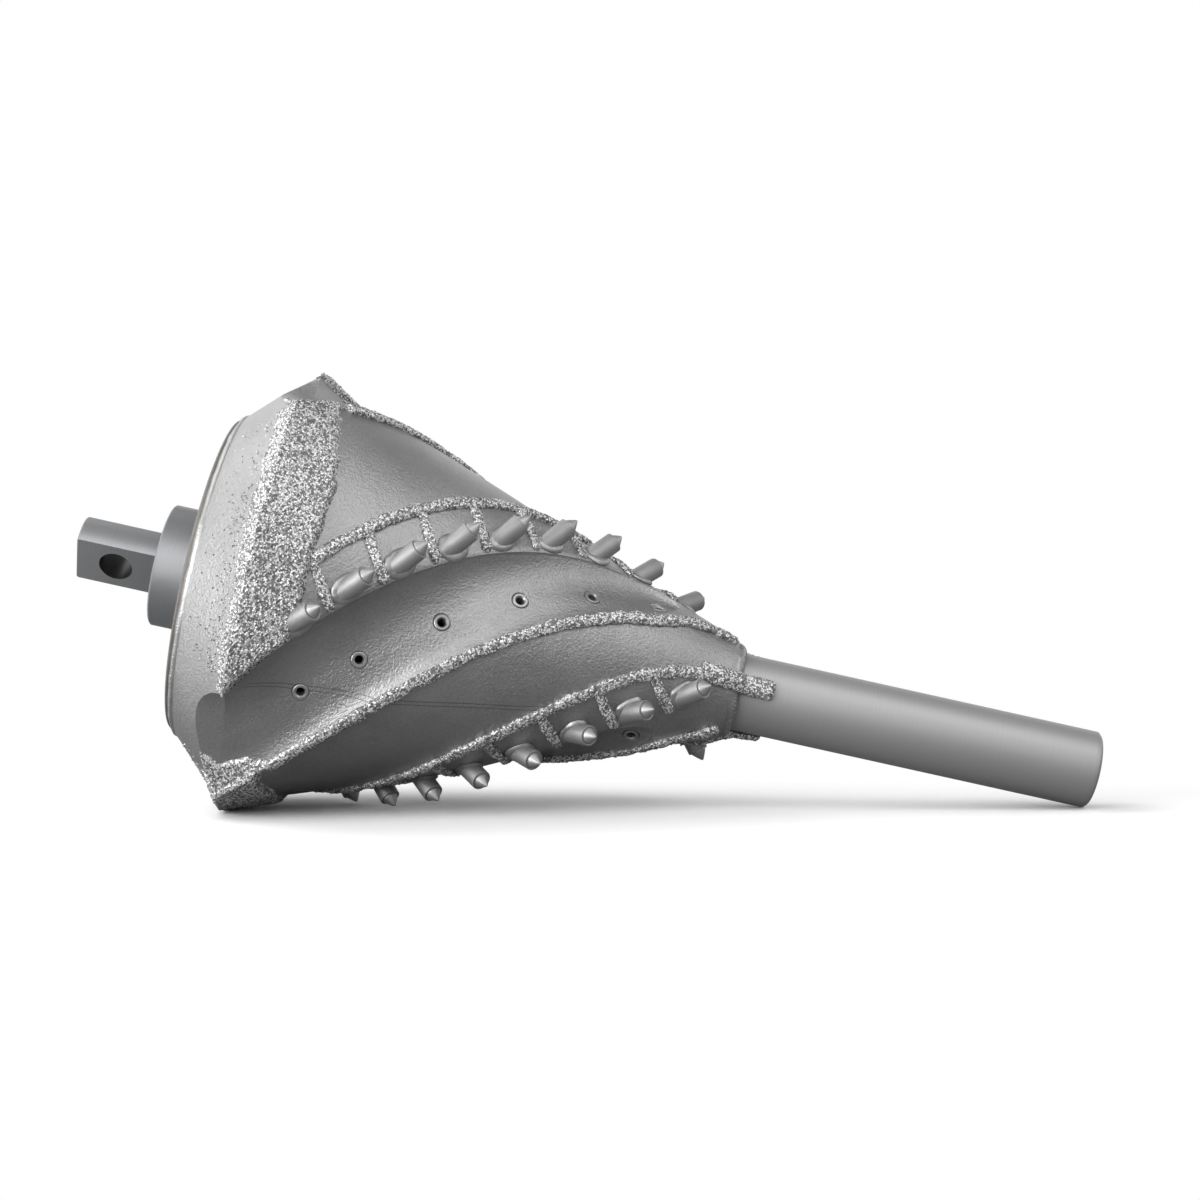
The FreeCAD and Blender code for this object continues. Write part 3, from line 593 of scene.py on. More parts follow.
# %% Curves on the cone
GAUGE_RADIUS, NOSE_RADIUS, NOSE_REACH = 223.5, 51.0, 477.0
REAR_REACH, REAR_RIM_RADIUS, REAR_MOUTH_RADIUS = 57.5, 168.0, 145.0
CHAMBER_GAUGE_RADIUS, CHAMBER_FRONT_RADIUS, CHAMBER_REACH = 166.0, 50.5, 405.0
PIPE_RADIUS, FIT_CLEARANCE = 39.7, 0.1
LOBES = "abc"
LOBE_ARC = 120.0
EDGE_START, EDGE_TURN, FLUTE_ARC = -24.2, 0.2745, 41.0
FLUTE_REACH, FLUTE_RUNOUT, FLUTE_DEPTH_REAR, FLUTE_DEPTH_FRONT = 408.0, 52.0, 27.0, 10.0
FLUTE_SKEW, FLUTE_MIDDLE, NOZZLE_PLACE, WALL_POWER = 0.716, 0.45, 0.56, 3.8
CORNER_DROP, CORNER_DROP_REACH = 3.0, 32.0
RIDGE_LIFT, RIDGE_LIFT_FROM, RIDGE_LIFT_LENGTH = 8.0, 385.0, 50.0
ROW_START, ROW_TURN, ROW_STRAIGHT_FROM, ROW_STRAIGHT_TO = -6.5, 0.3265, 380.0, 455.0
CONE_SLOPE = (GAUGE_RADIUS - NOSE_RADIUS) / NOSE_REACH
CONE_ANGLE = math.atan(CONE_SLOPE)
REAR_SLOPE = (GAUGE_RADIUS - REAR_RIM_RADIUS) / REAR_REACH
FLUTE_FALL = (FLUTE_DEPTH_REAR - FLUTE_DEPTH_FRONT) / FLUTE_REACH


def cone_radius(x):
    return GAUGE_RADIUS - CONE_SLOPE * x


def gauge_skin(x):
    """The casting's radius, without flutes, on both sides of the gauge plane."""
    return np.where(x < 0, GAUGE_RADIUS + REAR_SLOPE * x, cone_radius(x))


def edge_angle(x):
    """The helix of the cutter edge; behind the gauge plane the flute runs straight back."""
    return EDGE_START + EDGE_TURN * np.maximum(x, 0)


def corner_drop(x):
    """How far, in degrees, the flute's rear upper corner sags below the helix."""
    return CORNER_DROP * np.clip(1 - np.maximum(x, 0) / CORNER_DROP_REACH, 0, 1) ** 2


def ease(x, start, length):
    part = np.clip((x - start) / length, 0, 1)
    return part * part * (3 - 2 * part)


def ridge_angle(x):
    return edge_angle(x) - FLUTE_ARC + RIDGE_LIFT * ease(x, RIDGE_LIFT_FROM, RIDGE_LIFT_LENGTH)


def row_angle(x):
    """The bead above the cutters: a helix that eases to a straight line before the nose."""
    span = ROW_STRAIGHT_TO - ROW_STRAIGHT_FROM
    past = np.clip(x - ROW_STRAIGHT_FROM, 0, span)
    return ROW_START + ROW_TURN * (np.minimum(x, ROW_STRAIGHT_FROM) + past - past ** 2 / (2 * span))


def flute_fade(x):
    """1 along the flute, then a quarter circle down to 0 over the run-out."""
    past = np.clip((x - FLUTE_REACH + FLUTE_RUNOUT) / FLUTE_RUNOUT, 0, 1)
    return np.sqrt(1 - past ** 2)


def flute_depth(x):
    """Greatest depth at a station: it falls evenly from the gauge plane, then runs out."""
    return (FLUTE_DEPTH_REAR - FLUTE_FALL * np.maximum(x, 0)) * flute_fade(x)


def flute_share(across):
    """Share of the depth across the flute: a parabola pushed towards the cutter edge. Beyond the
    nozzles a higher power takes over, so that the wall at the ridge rises more steeply."""
    across = np.clip(across, 0, 1)
    lopsided = 1 - (2 * across ** FLUTE_SKEW - 1) ** 2
    at_nozzles = 1 - (2 * NOZZLE_PLACE ** FLUTE_SKEW - 1) ** 2
    fall = 4 * (2 * NOZZLE_PLACE ** FLUTE_SKEW - 1) * FLUTE_SKEW * NOZZLE_PLACE ** (FLUTE_SKEW - 1)
    past, reach = np.clip(across - NOZZLE_PLACE, 0, 1), 1 - NOZZLE_PLACE
    wall = at_nozzles - fall * past - (at_nozzles - fall * reach) * (past / reach) ** WALL_POWER
    return np.where(across > NOZZLE_PLACE, wall, lopsided)


def cone_frame(x, angle):
    """Point in millimetres round the gauge centre, outward normal, forward and upward."""
    outward = direction(0.0, 1.0, angle)
    point = direction(x, cone_radius(x), angle)
    normal = axis * math.sin(CONE_ANGLE) + outward * math.cos(CONE_ANGLE)
    forward = axis * math.cos(CONE_ANGLE) - outward * math.sin(CONE_ANGLE)
    return point, normal, forward, direction(0.0, 1.0, np.asarray(angle) + 90)


# %% Skin of the casting
REAR_ROWS, SCALLOP_ROWS, FRONT_ROWS, FLUTE_COLUMNS, LOBE_COLUMNS = 20, 14, 200, 52, 44
FLUTE_BUNCH, BACK_BUNCH, LEAST_FADE = 0.8, 0.6, 0.02
EDGE_ROUNDING, EDGE_ROUNDING_REACH = 1.1, 2.2
CAST_RIPPLES, RIPPLE_FADE = ((0.55, 60.0, 3), (0.22, 20.0, 4)), 30.0


def edge_spacing(count, bunch):
    """Places from 0 to 1, closer together at both ends."""
    even = np.linspace(0, 1, count, endpoint=False)
    return even - bunch * np.sin(2 * math.pi * even) / (2 * math.pi)


def lobe_columns(x):
    """Angle and flute share of each column of one lobe: across its flute, then over its back."""
    fade = np.maximum(flute_fade(x), LEAST_FADE)
    across = 1 - edge_spacing(FLUTE_COLUMNS, FLUTE_BUNCH)[None, :]
    flute_angle = (edge_angle(x) - FLUTE_ARC * (FLUTE_MIDDLE + (across - FLUTE_MIDDLE) * fade)
                   - corner_drop(x) * (1 - across) ** 2)
    high = edge_angle(x) - FLUTE_ARC * FLUTE_MIDDLE * (1 - fade) - corner_drop(x)
    low = flute_angle[:, :1] + LOBE_ARC
    back_angle = high + (low - high) * edge_spacing(LOBE_COLUMNS, BACK_BUNCH)[None, :]
    share = np.concatenate([flute_share(across)[0], np.zeros(LOBE_COLUMNS)])
    return np.concatenate([flute_angle, back_angle], axis=1), share


def edge_rounding(x, angle, radius):
    """How far a cast edge is worn back, by its distance round the cone."""
    gap = np.full(angle.shape, 99.0)
    for edge in (edge_angle(x) - corner_drop(x), edge_angle(x) - FLUTE_ARC,
                 edge_angle(x) - FLUTE_ARC + LOBE_ARC):
        gap = np.minimum(gap, np.abs(np.radians(angle - edge)) * radius)
    return EDGE_ROUNDING * np.exp(-(gap / EDGE_ROUNDING_REACH) ** 2) * flute_fade(x) * (x > -1)


def casting_stations(share):
    """Rows of stations; behind the gauge plane they bend to follow the flute's rear rim."""
    rim = np.minimum(-FLUTE_DEPTH_REAR * share / REAR_SLOPE, -0.6)
    rear_part = np.linspace(0, 1, REAR_ROWS, endpoint=False)[:, None]
    scallop_part = np.linspace(0, 1, SCALLOP_ROWS, endpoint=False)[:, None]
    front = np.linspace(0, NOSE_REACH, FRONT_ROWS)[:, None] + np.zeros(share.size)[None, :]
    return np.concatenate([-REAR_REACH + (rim + REAR_REACH) * rear_part,
                           rim * (1 - scallop_part), front])


_, share = lobe_columns(np.zeros((1, 1)))
x = casting_stations(share)
angle = lobe_columns(np.maximum(x[:, :1], 0))[0]
depth = flute_depth(x) * share
rear_radius = np.minimum(gauge_skin(x), GAUGE_RADIUS - depth)
skin_radius = np.where(x < 0, rear_radius, gauge_skin(x) - depth)
skin_radius -= edge_rounding(x, angle, skin_radius)
skin_x, skin_radius = np.tile(x, len(LOBES)), np.tile(skin_radius, len(LOBES))
skin_angle = np.concatenate([angle + LOBE_ARC * lobe for lobe in range(len(LOBES))], axis=1)
skin = direction(skin_x, skin_radius, skin_angle)
outward = direction(0.0, 1.0, skin_angle)
ripple = sum(height * soft_noise(skin, cell, seed) for height, cell, seed in CAST_RIPPLES)
skin += outward * (ripple * np.clip((NOSE_REACH - skin_x) / RIPPLE_FADE, 0, 1))[..., None]

inside = [(NOSE_REACH, PIPE_RADIUS + FIT_CLEARANCE), (CHAMBER_REACH, PIPE_RADIUS + FIT_CLEARANCE)]
inside += [(station, CHAMBER_GAUGE_RADIUS - (CHAMBER_GAUGE_RADIUS - CHAMBER_FRONT_RADIUS)
            * station / CHAMBER_REACH) for station in np.linspace(CHAMBER_REACH, 0, 24)]
inside += [(-REAR_REACH, REAR_MOUTH_RADIUS)]
column_spread = skin_angle[0]
rings = [direction(station, radius, column_spread + EDGE_TURN * max(station, 0))[None]
         for station, radius in inside]
casting = mesh_piece("casting", [loop(np.concatenate([skin] + rings))])
print("casting", len(casting.data.polygons), "faces")

# %% [markdown]
# ## Turned parts
# Cutters, tips, nozzles, the rear plate and the pipe are all profiles swung around a line.
# The profile lists the distance along the line and the radius there.

# %% Lathe
def square_axes(line):
    """Two directions at right angles to a line and to each other."""
    line = line / np.linalg.norm(line)
    other = np.array([0.0, 0.0, 1.0]) if abs(line[2]) < 0.9 else np.array([1.0, 0.0, 0.0])
    first = np.cross(line, other)
    first /= np.linalg.norm(first)
    return line, first, np.cross(line, first)


def lathe(origin, line, profile, segments):
    """Grid of points in millimetres: one row for each profile point, one column for each turn."""
    line, first, second = square_axes(line)
    turn = np.linspace(0, 2 * math.pi, segments, endpoint=False)
    profile = np.array(profile)
    ring = np.cos(turn)[:, None] * first + np.sin(turn)[:, None] * second
    return origin + profile[:, :1, None] * line + profile[:, 1:, None] * ring[None]


# %% Where cutters and nozzles sit
CUTTERS_PER_ROW, FIRST_CUTTER, CUTTER_PITCH, CUTTER_EDGE_GAP = 9, 51.0, 56.8, 17.0
CUTTER_RADIUS, CUTTER_EXPOSED, CUTTER_SUNK = 10.4, 25.5, 14.0
CUTTER_LEAN, CUTTER_HEADING = math.radians(45.3), math.radians(55.0)
TIP_RADIUS, TIP_LENGTH, TIP_SHANK_RADIUS, TIP_SHANK_LENGTH = 7.7, 10.6, 5.0, 11.0
NOZZLE_STATIONS = [66.0] + list(np.linspace(114.0, 388.0, 5))
NOZZLE_RADIUS, NOZZLE_HOLE_RADIUS, NOZZLE_LENGTH, NOZZLE_PROUD = 7.8, 4.0, 12.0, 0.8
NOZZLE_FEED_RADIUS, NOZZLE_CUT, NOZZLE_CHAMFER = 4.8, 49.0, 2.2
PATH_STEP = 0.5
HOLDER_SEGMENTS, RING_SEGMENTS, DRILL_SEGMENTS, GRAIN_SEGMENTS = 56, 48, 40, 5


def edge_path(x, distance):
    """The station reached by going a distance along the cutter edge."""
    travelled = 0.0
    while travelled < distance:
        turn = math.radians(EDGE_TURN) * cone_radius(x)
        travelled += PATH_STEP * math.sqrt(1 + CONE_SLOPE ** 2 + turn ** 2)
        x += PATH_STEP
    return x


def cutter_seats(number):
    """Station, seat point, cutter direction and surface normal of each cutter in a row."""
    x = edge_path(FIRST_CUTTER, CUTTER_PITCH * number / len(LOBES))
    seats = []
    for _ in range(CUTTERS_PER_ROW):
        angle = edge_angle(x) + math.degrees(CUTTER_EDGE_GAP / cone_radius(x)) - LOBE_ARC * number
        point, normal, forward, upward = cone_frame(x, angle)
        sideways = forward * math.cos(CUTTER_HEADING) + upward * math.sin(CUTTER_HEADING)
        seats.append((x, point, normal * math.cos(CUTTER_LEAN) + sideways * math.sin(CUTTER_LEAN),
                      normal))
        x = edge_path(x, CUTTER_PITCH)
    return seats


def flute_point(x, across, number):
    """A point on the floor of a flute, in millimetres round the gauge centre."""
    depth = flute_depth(x) * flute_share(across)
    width = FLUTE_MIDDLE + (across - FLUTE_MIDDLE) * flute_fade(x)
    return direction(x, cone_radius(x) - depth, edge_angle(x) - FLUTE_ARC * width
                     - LOBE_ARC * number)


def nozzle_seats(number):
    """Floor point and outward normal of each nozzle in a flute."""
    seats = []
    for x in NOZZLE_STATIONS:
        point = flute_point(x, NOZZLE_PLACE, number)
        normal = np.cross(flute_point(x + 1, NOZZLE_PLACE, number) - point,
                          flute_point(x, NOZZLE_PLACE - 0.02, number) - point)
        normal *= np.sign(np.dot(normal, point - axis * np.dot(point, axis)))
        seats.append((point, normal / np.linalg.norm(normal)))
    return seats


row_seats = [cutter_seats(number) for number in range(len(LOBES))]
flute_seats = [nozzle_seats(number) for number in range(len(LOBES))]

# %% Nozzle holes through the casting
drills = []
for seats in flute_seats:
    for point, normal in seats:
        floor_of_seat = -(NOZZLE_LENGTH - NOZZLE_PROUD)
        profile = [(-NOZZLE_CUT, NOZZLE_FEED_RADIUS), (floor_of_seat, NOZZLE_FEED_RADIUS),
                   (floor_of_seat, NOZZLE_RADIUS + FIT_CLEARANCE),
                   (-NOZZLE_CHAMFER / 2, NOZZLE_RADIUS + FIT_CLEARANCE),
                   (NOZZLE_CHAMFER / 2, NOZZLE_RADIUS + FIT_CLEARANCE + NOZZLE_CHAMFER),
                   (NOZZLE_CUT, NOZZLE_RADIUS + FIT_CLEARANCE + NOZZLE_CHAMFER)]
        drills.append(tube(lathe(point, normal, profile, DRILL_SEGMENTS)))
nozzle_drills = mesh_piece("nozzle_drills", drills)
cut = casting.modifiers.new("nozzle_holes", "BOOLEAN")
cut.operation = "DIFFERENCE"
cut.object = nozzle_drills
bpy.context.view_layer.update()
worked_out = casting.evaluated_get(bpy.context.evaluated_depsgraph_get())
drilled = bpy.data.meshes.new_from_object(worked_out)
casting.modifiers.clear()
drilled.set_sharp_from_angle(angle=SHARP_ANGLE)
casting.data = drilled
bpy.data.objects.remove(nozzle_drills)
stand_in(casting, "cast_steel", "reamer_body")

# %% Cutters, tips and nozzle rings
CUTTER_PROFILE = [(-CUTTER_SUNK, CUTTER_RADIUS), (0.0, CUTTER_RADIUS),
                  (CUTTER_EXPOSED - 0.9, CUTTER_RADIUS),
                  (CUTTER_EXPOSED - 0.3, CUTTER_RADIUS - 0.3),
                  (CUTTER_EXPOSED, CUTTER_RADIUS - 0.9), (CUTTER_EXPOSED - 0.5, TIP_RADIUS + 0.3),
                  (CUTTER_EXPOSED - 0.5, TIP_SHANK_RADIUS + FIT_CLEARANCE),
                  (CUTTER_EXPOSED - TIP_SHANK_LENGTH, TIP_SHANK_RADIUS + FIT_CLEARANCE)]
TIP_PROFILE = [(-TIP_SHANK_LENGTH, TIP_SHANK_RADIUS), (-0.45, TIP_SHANK_RADIUS),
               (-0.45, TIP_RADIUS), (0.9, TIP_RADIUS), (1.4, TIP_RADIUS - 0.3), (4.2, 5.6),
               (7.2, 3.4), (9.2, 1.9), (10.2, 0.9), (TIP_LENGTH, 0.3)]
NOZZLE_PROFILE = [(-11.0, NOZZLE_HOLE_RADIUS), (-0.6, NOZZLE_HOLE_RADIUS + 0.2),
                  (0.3, NOZZLE_HOLE_RADIUS + 0.9), (NOZZLE_PROUD, 5.4), (NOZZLE_PROUD, 7.0),
                  (0.3, NOZZLE_RADIUS), (-11.0, NOZZLE_RADIUS)]

for number, letter in enumerate(LOBES):
    tip_grids, ring_grids = [], []
    for count, (_, point, heading, _) in enumerate(row_seats[number], start=1):
        holder = tube(lathe(point, heading, CUTTER_PROFILE, HOLDER_SEGMENTS))
        new_piece("holder_%s%d" % (letter, count), [holder], "holder_steel",
                  "cutter_%s%d" % (letter, count))
        tip_grids.append(tube(lathe(point + heading * CUTTER_EXPOSED, heading, TIP_PROFILE,
                                    RING_SEGMENTS)))
    for point, normal in flute_seats[number]:
        ring_grids.append(loop(lathe(point, normal, NOZZLE_PROFILE, RING_SEGMENTS)))
    new_piece("carbide_tips_" + letter, tip_grids, "carbide", "tips_" + letter)
    new_piece("nozzle_rings_" + letter, ring_grids, "nozzle_steel", "nozzles_" + letter)

# %% [markdown]
# ## Hardfacing
# Beads and pads are half-round or flat-backed ribbons laid on the cone. Crushed carbide is
# shown as real relief: every grid point is pushed out by a noise made of little cones, and
# the faces stay flat so that each grain catches the light by itself.

# %% Beads
BEAD_WIDTH, BEAD_HEIGHT, DIVIDER_WIDTH, DIVIDER_HEIGHT = 12.5, 5.5, 10.5, 4.5
DIVIDER_LEAD, DIVIDER_SWEEP, DIVIDER_EDGE_GAP, RIDGE_BEAD_INSET = 9.0, 28.0, 1.6, 2.5
PAD_LENGTH = 49.0
FIN_START, FIN_REACH, FIN_WIDTH, FIN_HEIGHT, FIN_TURN = 442.0, 520.0, 20.5, 8.2, 3.0
BEAD_COLUMNS, DIVIDER_COLUMNS = 17, 14
SINK, BEAD_UNDERCUT, BEAD_TUCK, BEAD_END, BEAD_END_LOW = 3.0, 0.7, 1.8, 5, 0.35
WANDER, WANDER_CELL, SWELL, SWELL_CELL = 0.9, 16.0, 0.16, 9.0
GRAIN_STEP, GRAIN, GRAIN_HEIGHT = 1.05, 2.6, 2.0
FINE_GRAIN, COARSE_SHARE, FINE_SHARE, MEAN_PUSH = 0.55, 0.8, 0.35, 0.62


def grit_push(points, seed, height):
    """How far each point of a hardfaced surface is pushed out, in millimetres."""
    coarse = grit_noise(points, GRAIN, seed)
    fine = grit_noise(points, GRAIN * FINE_GRAIN, seed + 20)
    return height * (coarse * COARSE_SHARE + fine * FINE_SHARE - MEAN_PUSH)


def resampled(stations, angles):
    """The same path with its points one grain step apart."""
    points = direction(stations, cone_radius(stations), angles)
    length = np.concatenate([[0], np.cumsum(np.linalg.norm(np.diff(points, axis=0), axis=1))])
    places = np.linspace(0, length[-1], int(length[-1] / GRAIN_STEP) + 2)
    return np.interp(places, length, stations), np.interp(places, length, angles), places


def bead_grid(stations, angles, width, height, columns, seed):
    """A ragged half-round ribbon on the cone, closed underneath."""
    stations, angles, places = resampled(stations, angles)
    point, normal, _, _ = cone_frame(stations, angles)
    ahead = np.gradient(point, axis=0)
    side = np.cross(ahead, normal)
    side /= np.linalg.norm(side, axis=1, keepdims=True)
    wander = WANDER * soft_noise(point, WANDER_CELL, seed + 2)
    swell = 1 + SWELL * soft_noise(point, SWELL_CELL, seed + 3)
    end = np.minimum(places, places[-1] - places)
    swell = swell * np.clip(BEAD_END_LOW + end / BEAD_END, 0, 1)
    turn = np.linspace(-math.pi / 2, math.pi / 2, columns)[None, :]
    out = (np.sin(turn)[..., None] * side[:, None] + np.cos(turn)[..., None] * normal[:, None])
    top = (point[:, None] + side[:, None] * wander[:, None, None]
           + side[:, None] * (np.sin(turn) * (swell * width / 2)[:, None])[..., None]
           + normal[:, None] * (BEAD_UNDERCUT + np.cos(turn) ** 0.6
                                * (swell * height - BEAD_UNDERCUT)[:, None])[..., None])
    top = top + out * grit_push(top, seed, GRAIN_HEIGHT)[..., None]
    under, inward = normal[:, None] * -SINK, side[:, None] * BEAD_TUCK
    right = top[:, -1:] + under - inward
    left = top[:, :1] + under + inward
    return tube(np.concatenate([top, right, left], axis=1))


def ridge_bead_angle(x):
    return ridge_angle(x) + LOBE_ARC - np.degrees(RIDGE_BEAD_INSET / cone_radius(x))


def divider_path(next_station, number):
    """From the row bead down to the flute edge, just behind the next cutter."""
    low = next_station - DIVIDER_LEAD
    high = low - DIVIDER_SWEEP
    low_angle = edge_angle(low) + math.degrees(DIVIDER_EDGE_GAP / cone_radius(low))
    share = np.linspace(0, 1, 12)
    return (low + (high - low) * share,
            low_angle + (row_angle(high) - low_angle) * share - LOBE_ARC * number)


for number, letter in enumerate(LOBES):
    turn = LOBE_ARC * number
    stations = np.linspace(PAD_LENGTH + 4, FIN_START + 4, 200)
    bead = bead_grid(stations, row_angle(stations) - turn, BEAD_WIDTH, BEAD_HEIGHT, BEAD_COLUMNS,
                     SEEDS["row"] + number)
    new_piece("grit_row_bead_" + letter, [bead], "hardfacing", "row_bead_" + letter)
    stations = np.linspace(PAD_LENGTH - 6, NOSE_REACH - 3, 200)
    bead = bead_grid(stations, ridge_bead_angle(stations) - turn, BEAD_WIDTH, BEAD_HEIGHT,
                     BEAD_COLUMNS, SEEDS["ridge"] + number)
    new_piece("grit_ridge_bead_" + letter, [bead], "hardfacing", "ridge_bead_" + letter)
    dividers = []
    for count, seat in enumerate(row_seats[number][1:]):
        stations, angles = divider_path(seat[0], number)
        dividers.append(bead_grid(stations, angles, DIVIDER_WIDTH, DIVIDER_HEIGHT, DIVIDER_COLUMNS,
                                  SEEDS["divider"] + CUTTERS_PER_ROW * number + count))
    new_piece("grit_dividers_" + letter, dividers, "hardfacing", "divider_beads_" + letter)

# %% Gauge pads
PAD_ROWS, PAD_COLUMNS = 290, 78
PAD_FRONT = ((0.0, 0.3, 0.5, 0.65, 0.75, 0.9, 1.0), (51.0, 56.0, 59.0, 54.0, 49.0, 42.0, 38.0))
PAD_WRAP = ((0.0, 0.3, 0.6, 0.96, 1.0), (8.0, 10.0, 13.0, 14.0, 22.0))
PAD_NOISE_LENGTH, PAD_NOISE_RADIUS, PAD_NOISE_CELL = 300.0, 60.0, 12.0
FRONT_RAGGED, REAR_RAGGED, PAD_LAP, PAD_LEAN, PAD_GRAIN = 3, 2.5, 0.4, 0.8, 1.15
PAD_STRAY, STRAY_GRAINS, STRAY_SPREAD, STRAY_SIZES = 9.0, 330, 9.0, (0.6, 1.3)
CORNER_REACH, CORNER_THICKNESS, CORNER_ROWS, CORNER_COLUMNS = 46.0, 3.2, 66, 34
CORNER_LOW, CORNER_TOP, CORNER_RIM = 1.03, 0.75, 1.5
PAD_REAR_RISE = ((-9.0, -3.0, 0.0, 3.0, 8.0, 13.0), (-1.9, -1.0, 0.0, 2.4, 5.2, 7.0))
PAD_FRONT_RISE = ((-3.0, -1.0, 0.5, 2.0, 4.0), (-1.8, -0.5, 2.2, 5.0, 7.0))


def pad_grid(number):
    """The thick hardfaced band behind each lobe's cutters. It laps over the gauge edge, and its
    thinnest rim lies just under the steel, so that only stray grains come through."""
    seed = SEEDS["pad"] + number
    share = np.linspace(0, 1, PAD_ROWS)[:, None]
    paths = (direction(share * PAD_NOISE_LENGTH, PAD_NOISE_RADIUS, turn) for turn in (0.0, 90.0))
    front_noise, rear_noise = (soft_noise(path, PAD_NOISE_CELL, seed) for path in paths)
    front = np.interp(share, *PAD_FRONT) + FRONT_RAGGED * front_noise
    rear = REAR_RAGGED * rear_noise - np.interp(share, *PAD_WRAP)
    x = rear - PAD_STRAY + (front + 3 - rear + PAD_STRAY) * np.linspace(0, 1, PAD_COLUMNS)[None, :]
    heights = np.minimum(np.interp(x - rear, *PAD_REAR_RISE), np.interp(front - x, *PAD_FRONT_RISE))
    end = np.clip(np.minimum(share, 1 - share) * PAD_ROWS / 5, 0, 1)
    heights = np.where(heights > 0, heights * np.sqrt(0.15 + 0.85 * end), heights)
    low = edge_angle(x) - corner_drop(x) - PAD_LAP
    high = ridge_angle(x) + LOBE_ARC + PAD_LAP
    angle = low + (high - low) * share - LOBE_ARC * number
    outward = direction(0.0, 1.0, angle)
    lean = np.clip(0.5 - x / 6, 0, 1) * PAD_LEAN
    points = direction(x, gauge_skin(x) + heights, angle)
    points = points + ((outward - axis * lean[..., None])
                       * grit_push(points, seed, GRAIN_HEIGHT * PAD_GRAIN)[..., None])
    under = direction(x, gauge_skin(x) - SINK, angle)
    return tube(np.concatenate([under[:, :1], points, under[:, -1:]], axis=1))


def stray_grain_grids(number):
    """Single grains that fell on the rear cone, thinning out with distance from the pad."""
    dice = np.random.default_rng(SEEDS["stray"] + number)
    grains = []
    for _ in range(STRAY_GRAINS):
        share = dice.random() ** 1.4
        x = -np.interp(share, *PAD_WRAP) - 4 - dice.exponential(STRAY_SPREAD)
        arc = ridge_angle(0) + LOBE_ARC - edge_angle(0)
        angle = edge_angle(0) + share * arc - LOBE_ARC * number
        if x < -REAR_REACH + 6:
            continue
        size = dice.uniform(*STRAY_SIZES)
        out = (direction(0.0, 1.0, angle) - axis * REAR_SLOPE) / math.hypot(1, REAR_SLOPE)
        tilt = out + 0.5 * (dice.random(3) - 0.5)
        shoulder = size * dice.uniform(0.6, 1)
        profile = [(-0.8, size), (0.3 * size, shoulder), (0.9 * size, size * 0.3)]
        place = direction(x, gauge_skin(x), angle)
        grains.append(tube(lathe(place, tilt, profile, GRAIN_SEGMENTS)))
    return grains


def corner_patch_grid(number):
    """Hardfacing that wraps the pad's lower corner: over the flute's rim and to its rear edge."""
    seed = SEEDS["corner"] + number
    along = np.linspace(0, 1, CORNER_ROWS)[:, None]
    up_flute = np.linspace(0, 1, CORNER_COLUMNS)[None, :]
    ragged = soft_noise(direction(along * 70.0, 90.0, 0.0), 9.0, seed)
    top = CORNER_TOP + 0.25 * along ** 1.5 + 0.03 * ragged
    across = CORNER_LOW - (CORNER_LOW - top) * up_flute
    share = flute_share(across)
    rim = -FLUTE_DEPTH_REAR * share / REAR_SLOPE - CORNER_RIM
    x = rim + (CORNER_REACH - rim) * along
    radius = cone_radius(np.maximum(x, 0)) - flute_depth(x) * share
    edge = np.minimum(np.minimum(along, 1 - along) * CORNER_ROWS,
                      (1 - up_flute) * CORNER_COLUMNS) / 3
    lift = CORNER_THICKNESS * np.clip(edge, 0, 1) ** 0.5
    angle = edge_angle(x) - FLUTE_ARC * across - LOBE_ARC * (number - 1)
    skin = direction(x, radius + lift, angle)
    outward = direction(0.0, 1.0, angle)
    skin = skin + outward * (grit_push(skin, seed, GRAIN_HEIGHT) * (edge > 0))[..., None]
    under = direction(x, radius - SINK, angle)
    return tube(np.concatenate([skin, under[:, -1:], under[:, :1]], axis=1))


for number, letter in enumerate(LOBES):
    grids = [pad_grid(number), corner_patch_grid(number)] + stray_grain_grids(number)
    new_piece("grit_pad_" + letter, grids, "hardfacing", "gauge_pad_" + letter)

